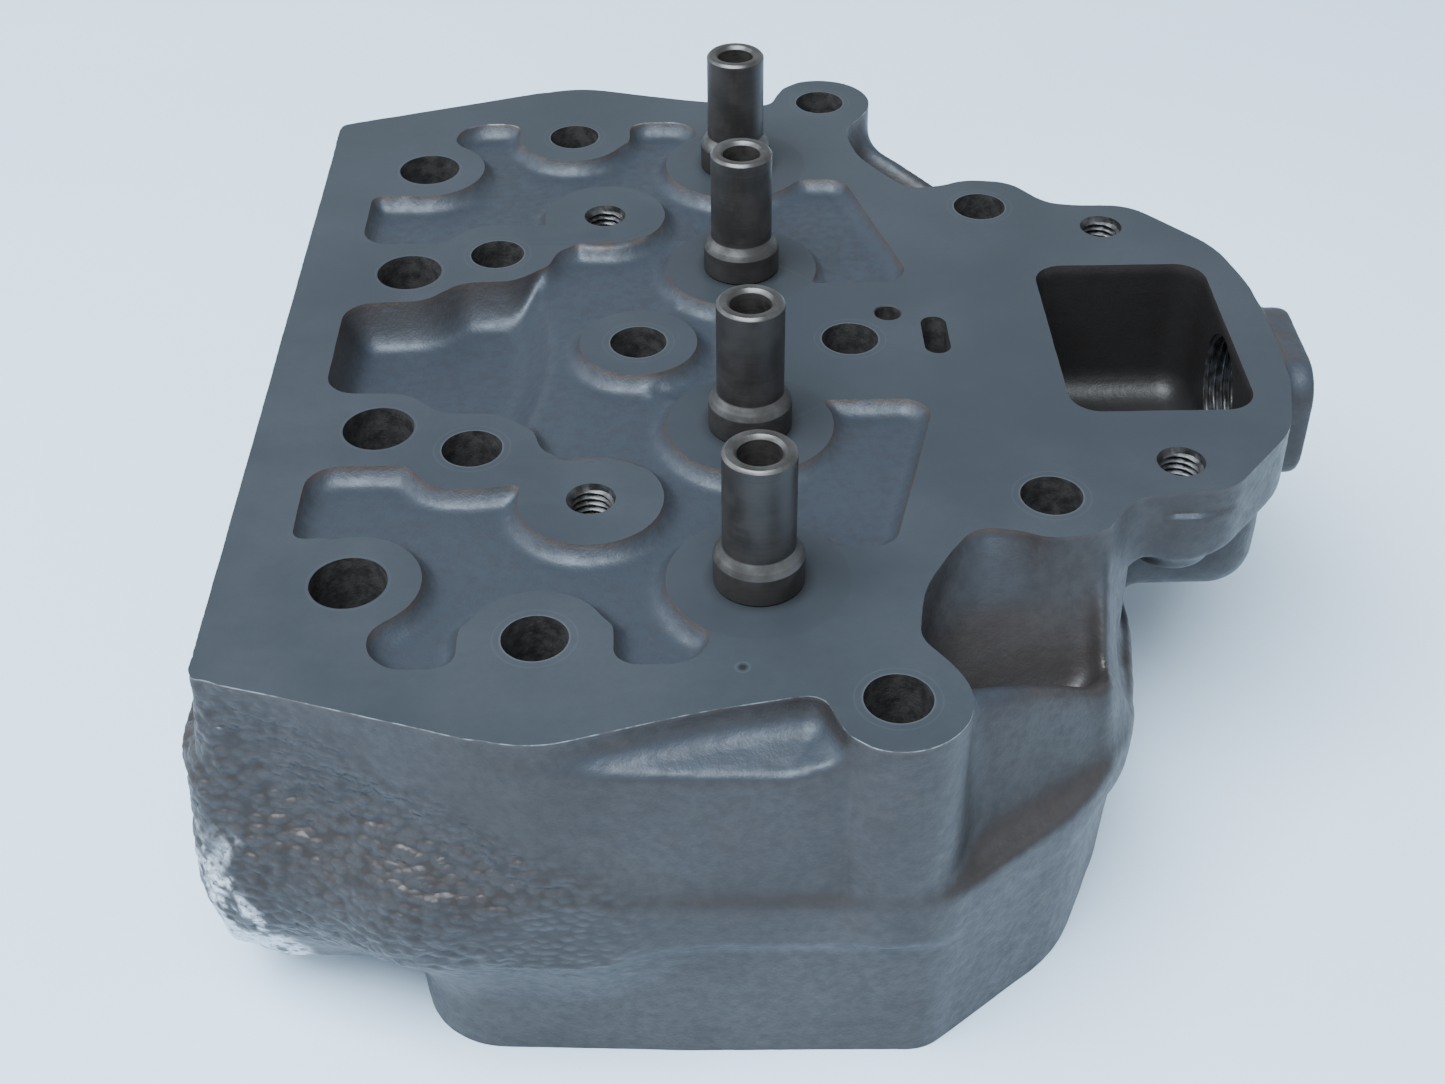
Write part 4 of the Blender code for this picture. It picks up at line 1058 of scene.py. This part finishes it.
def build():
    cast, plain, bore, tap = cast_material(), machined_material(), bore_material(), thread_material()
    casting = build_casting([cast, plain, bore, tap])
    stencil(casting)
    shade(casting)
    adopt(casting, "head_casting")

    sleeve = turned_material("guide iron", (0.017, 0.015, 0.014), (0.029, 0.026, 0.025), 0.42, 0.30, 1.0)
    rim = turned_material("guide rim", (0.060, 0.058, 0.056), (0.100, 0.100, 0.100), 0.36, 0.7, 4.0)
    hole = turned_material("guide bore", (0.020, 0.018, 0.017), (0.045, 0.042, 0.040), 0.45, 0.5, 7.0)
    names = ["exhaust_guide_near", "intake_guide_near", "intake_guide_far", "exhaust_guide_far"]
    for name, y in zip(names, GUIDES):
        adopt(guide_piece(name + "_turned", y, [sleeve, rim, hole]), name)

    ring = turned_material("seat steel", (0.26, 0.255, 0.25), (0.36, 0.36, 0.36), 0.34, 0.9, 2.0)
    ground = turned_material("ground seat", (0.48, 0.48, 0.48), (0.60, 0.60, 0.60), 0.18, 1.0, 5.0)
    names = ["exhaust_seat_near", "intake_seat_near", "intake_seat_far", "exhaust_seat_far"]
    for name, y, r in zip(names, GUIDES, (19.5, 21.5, 21.5, 19.5)):
        adopt(seat_piece(name + "_ring", y, r, [ring, ground]), name)

    steel = turned_material("plug steel", (0.105, 0.102, 0.096), (0.18, 0.175, 0.165), 0.38, 0.8, 3.0)
    for word, s in (("near", -1.0), ("far", 1.0)):
        adopt(cup_piece("manifold_cup_" + word, -117.3, 66.0 * s, 66.0, -1.0, steel),
              "manifold_core_plug_" + word)
        adopt(cup_piece("outlet_cup_" + word, 85.3, 20.5 * s, 25.0, 1.0, steel),
              "outlet_core_plug_" + word)
    adopt(gallery_piece("gallery_plug_body", steel), "oil_gallery_plug")


def studio():
    floor = bpy.data.meshes.new("table")
    s = 4.0
    corners = [(-s, -s, -0.0002), (s, -s, -0.0002), (s, s, -0.0002), (-s, s, -0.0002)]
    floor.from_pydata(corners, [], [(0, 1, 2, 3)])
    floor.materials.append(floor_material())
    table = link("table", floor)

    def softbox(name, place, aim, width, depth, power, colour):
        data = bpy.data.lights.new(name, "AREA")
        data.shape = "RECTANGLE"
        data.size, data.size_y = width, depth
        data.energy = power
        data.color = colour
        lamp = link(name, data)
        lamp.location = place
        lamp.rotation_euler = (Vector(aim) - Vector(place)).to_track_quat("-Z", "Y").to_euler()

    softbox("overhead", (-0.45, -0.75, 1.95), (0.0, 0.0, 0.05), 2.0, 1.2, 135.0, (0.86, 0.94, 1.0))
    softbox("left", (-1.7, 0.2, 1.0), (0.0, 0.0, 0.06), 1.4, 1.0, 16.0, (0.88, 0.94, 1.0))

    sky = Nodes("overcast", world=True)
    _, across, level = sky.new("SeparateXYZ", {0: sky.coordinates["Generated"]}).outputs
    shades = sky.new("ValToRGB", {0: level})
    stops = shades.color_ramp.elements
    stops[0].color = (0.86, 0.90, 0.94, 1.0)
    stops[1].color = (0.95, 0.98, 1.0, 1.0)
    stops.new(0.45).color = (1.00, 1.04, 1.08, 1.0)
    band = sky.times(sky.ramp(level, 0.48, 0.72), sky.ramp(across, 0.10, 0.45))
    back = sky.tree.nodes["Background"]
    sky.put(back.inputs[0], sky.mix(band, shades.outputs[0], (0.07, 0.10, 0.14)))
    sky.put(back.inputs[1], 0.70)
    bpy.context.scene.world = sky.home

    lens = bpy.data.cameras.new("camera")
    lens.lens = 48.66
    lens.sensor_width = 36.0
    lens.clip_start = 0.01
    camera = link("camera", lens)
    pitch, yaw, roll = math.radians(38.89), math.radians(1.0), math.radians(-0.40)
    forward = Vector((math.sin(yaw) * math.cos(pitch), math.cos(yaw) * math.cos(pitch), -math.sin(pitch)))
    right = Vector((math.cos(yaw), -math.sin(yaw), 0.0))
    up = right.cross(forward)
    side = math.cos(roll) * right + math.sin(roll) * up
    head = -math.sin(roll) * right + math.cos(roll) * up
    turn = Matrix((side, head, -forward)).transposed().to_4x4()
    camera.matrix_world = Matrix.Translation((-0.0139, -0.4310, 0.384)) @ turn
    bpy.context.scene.camera = camera


build()
studio()
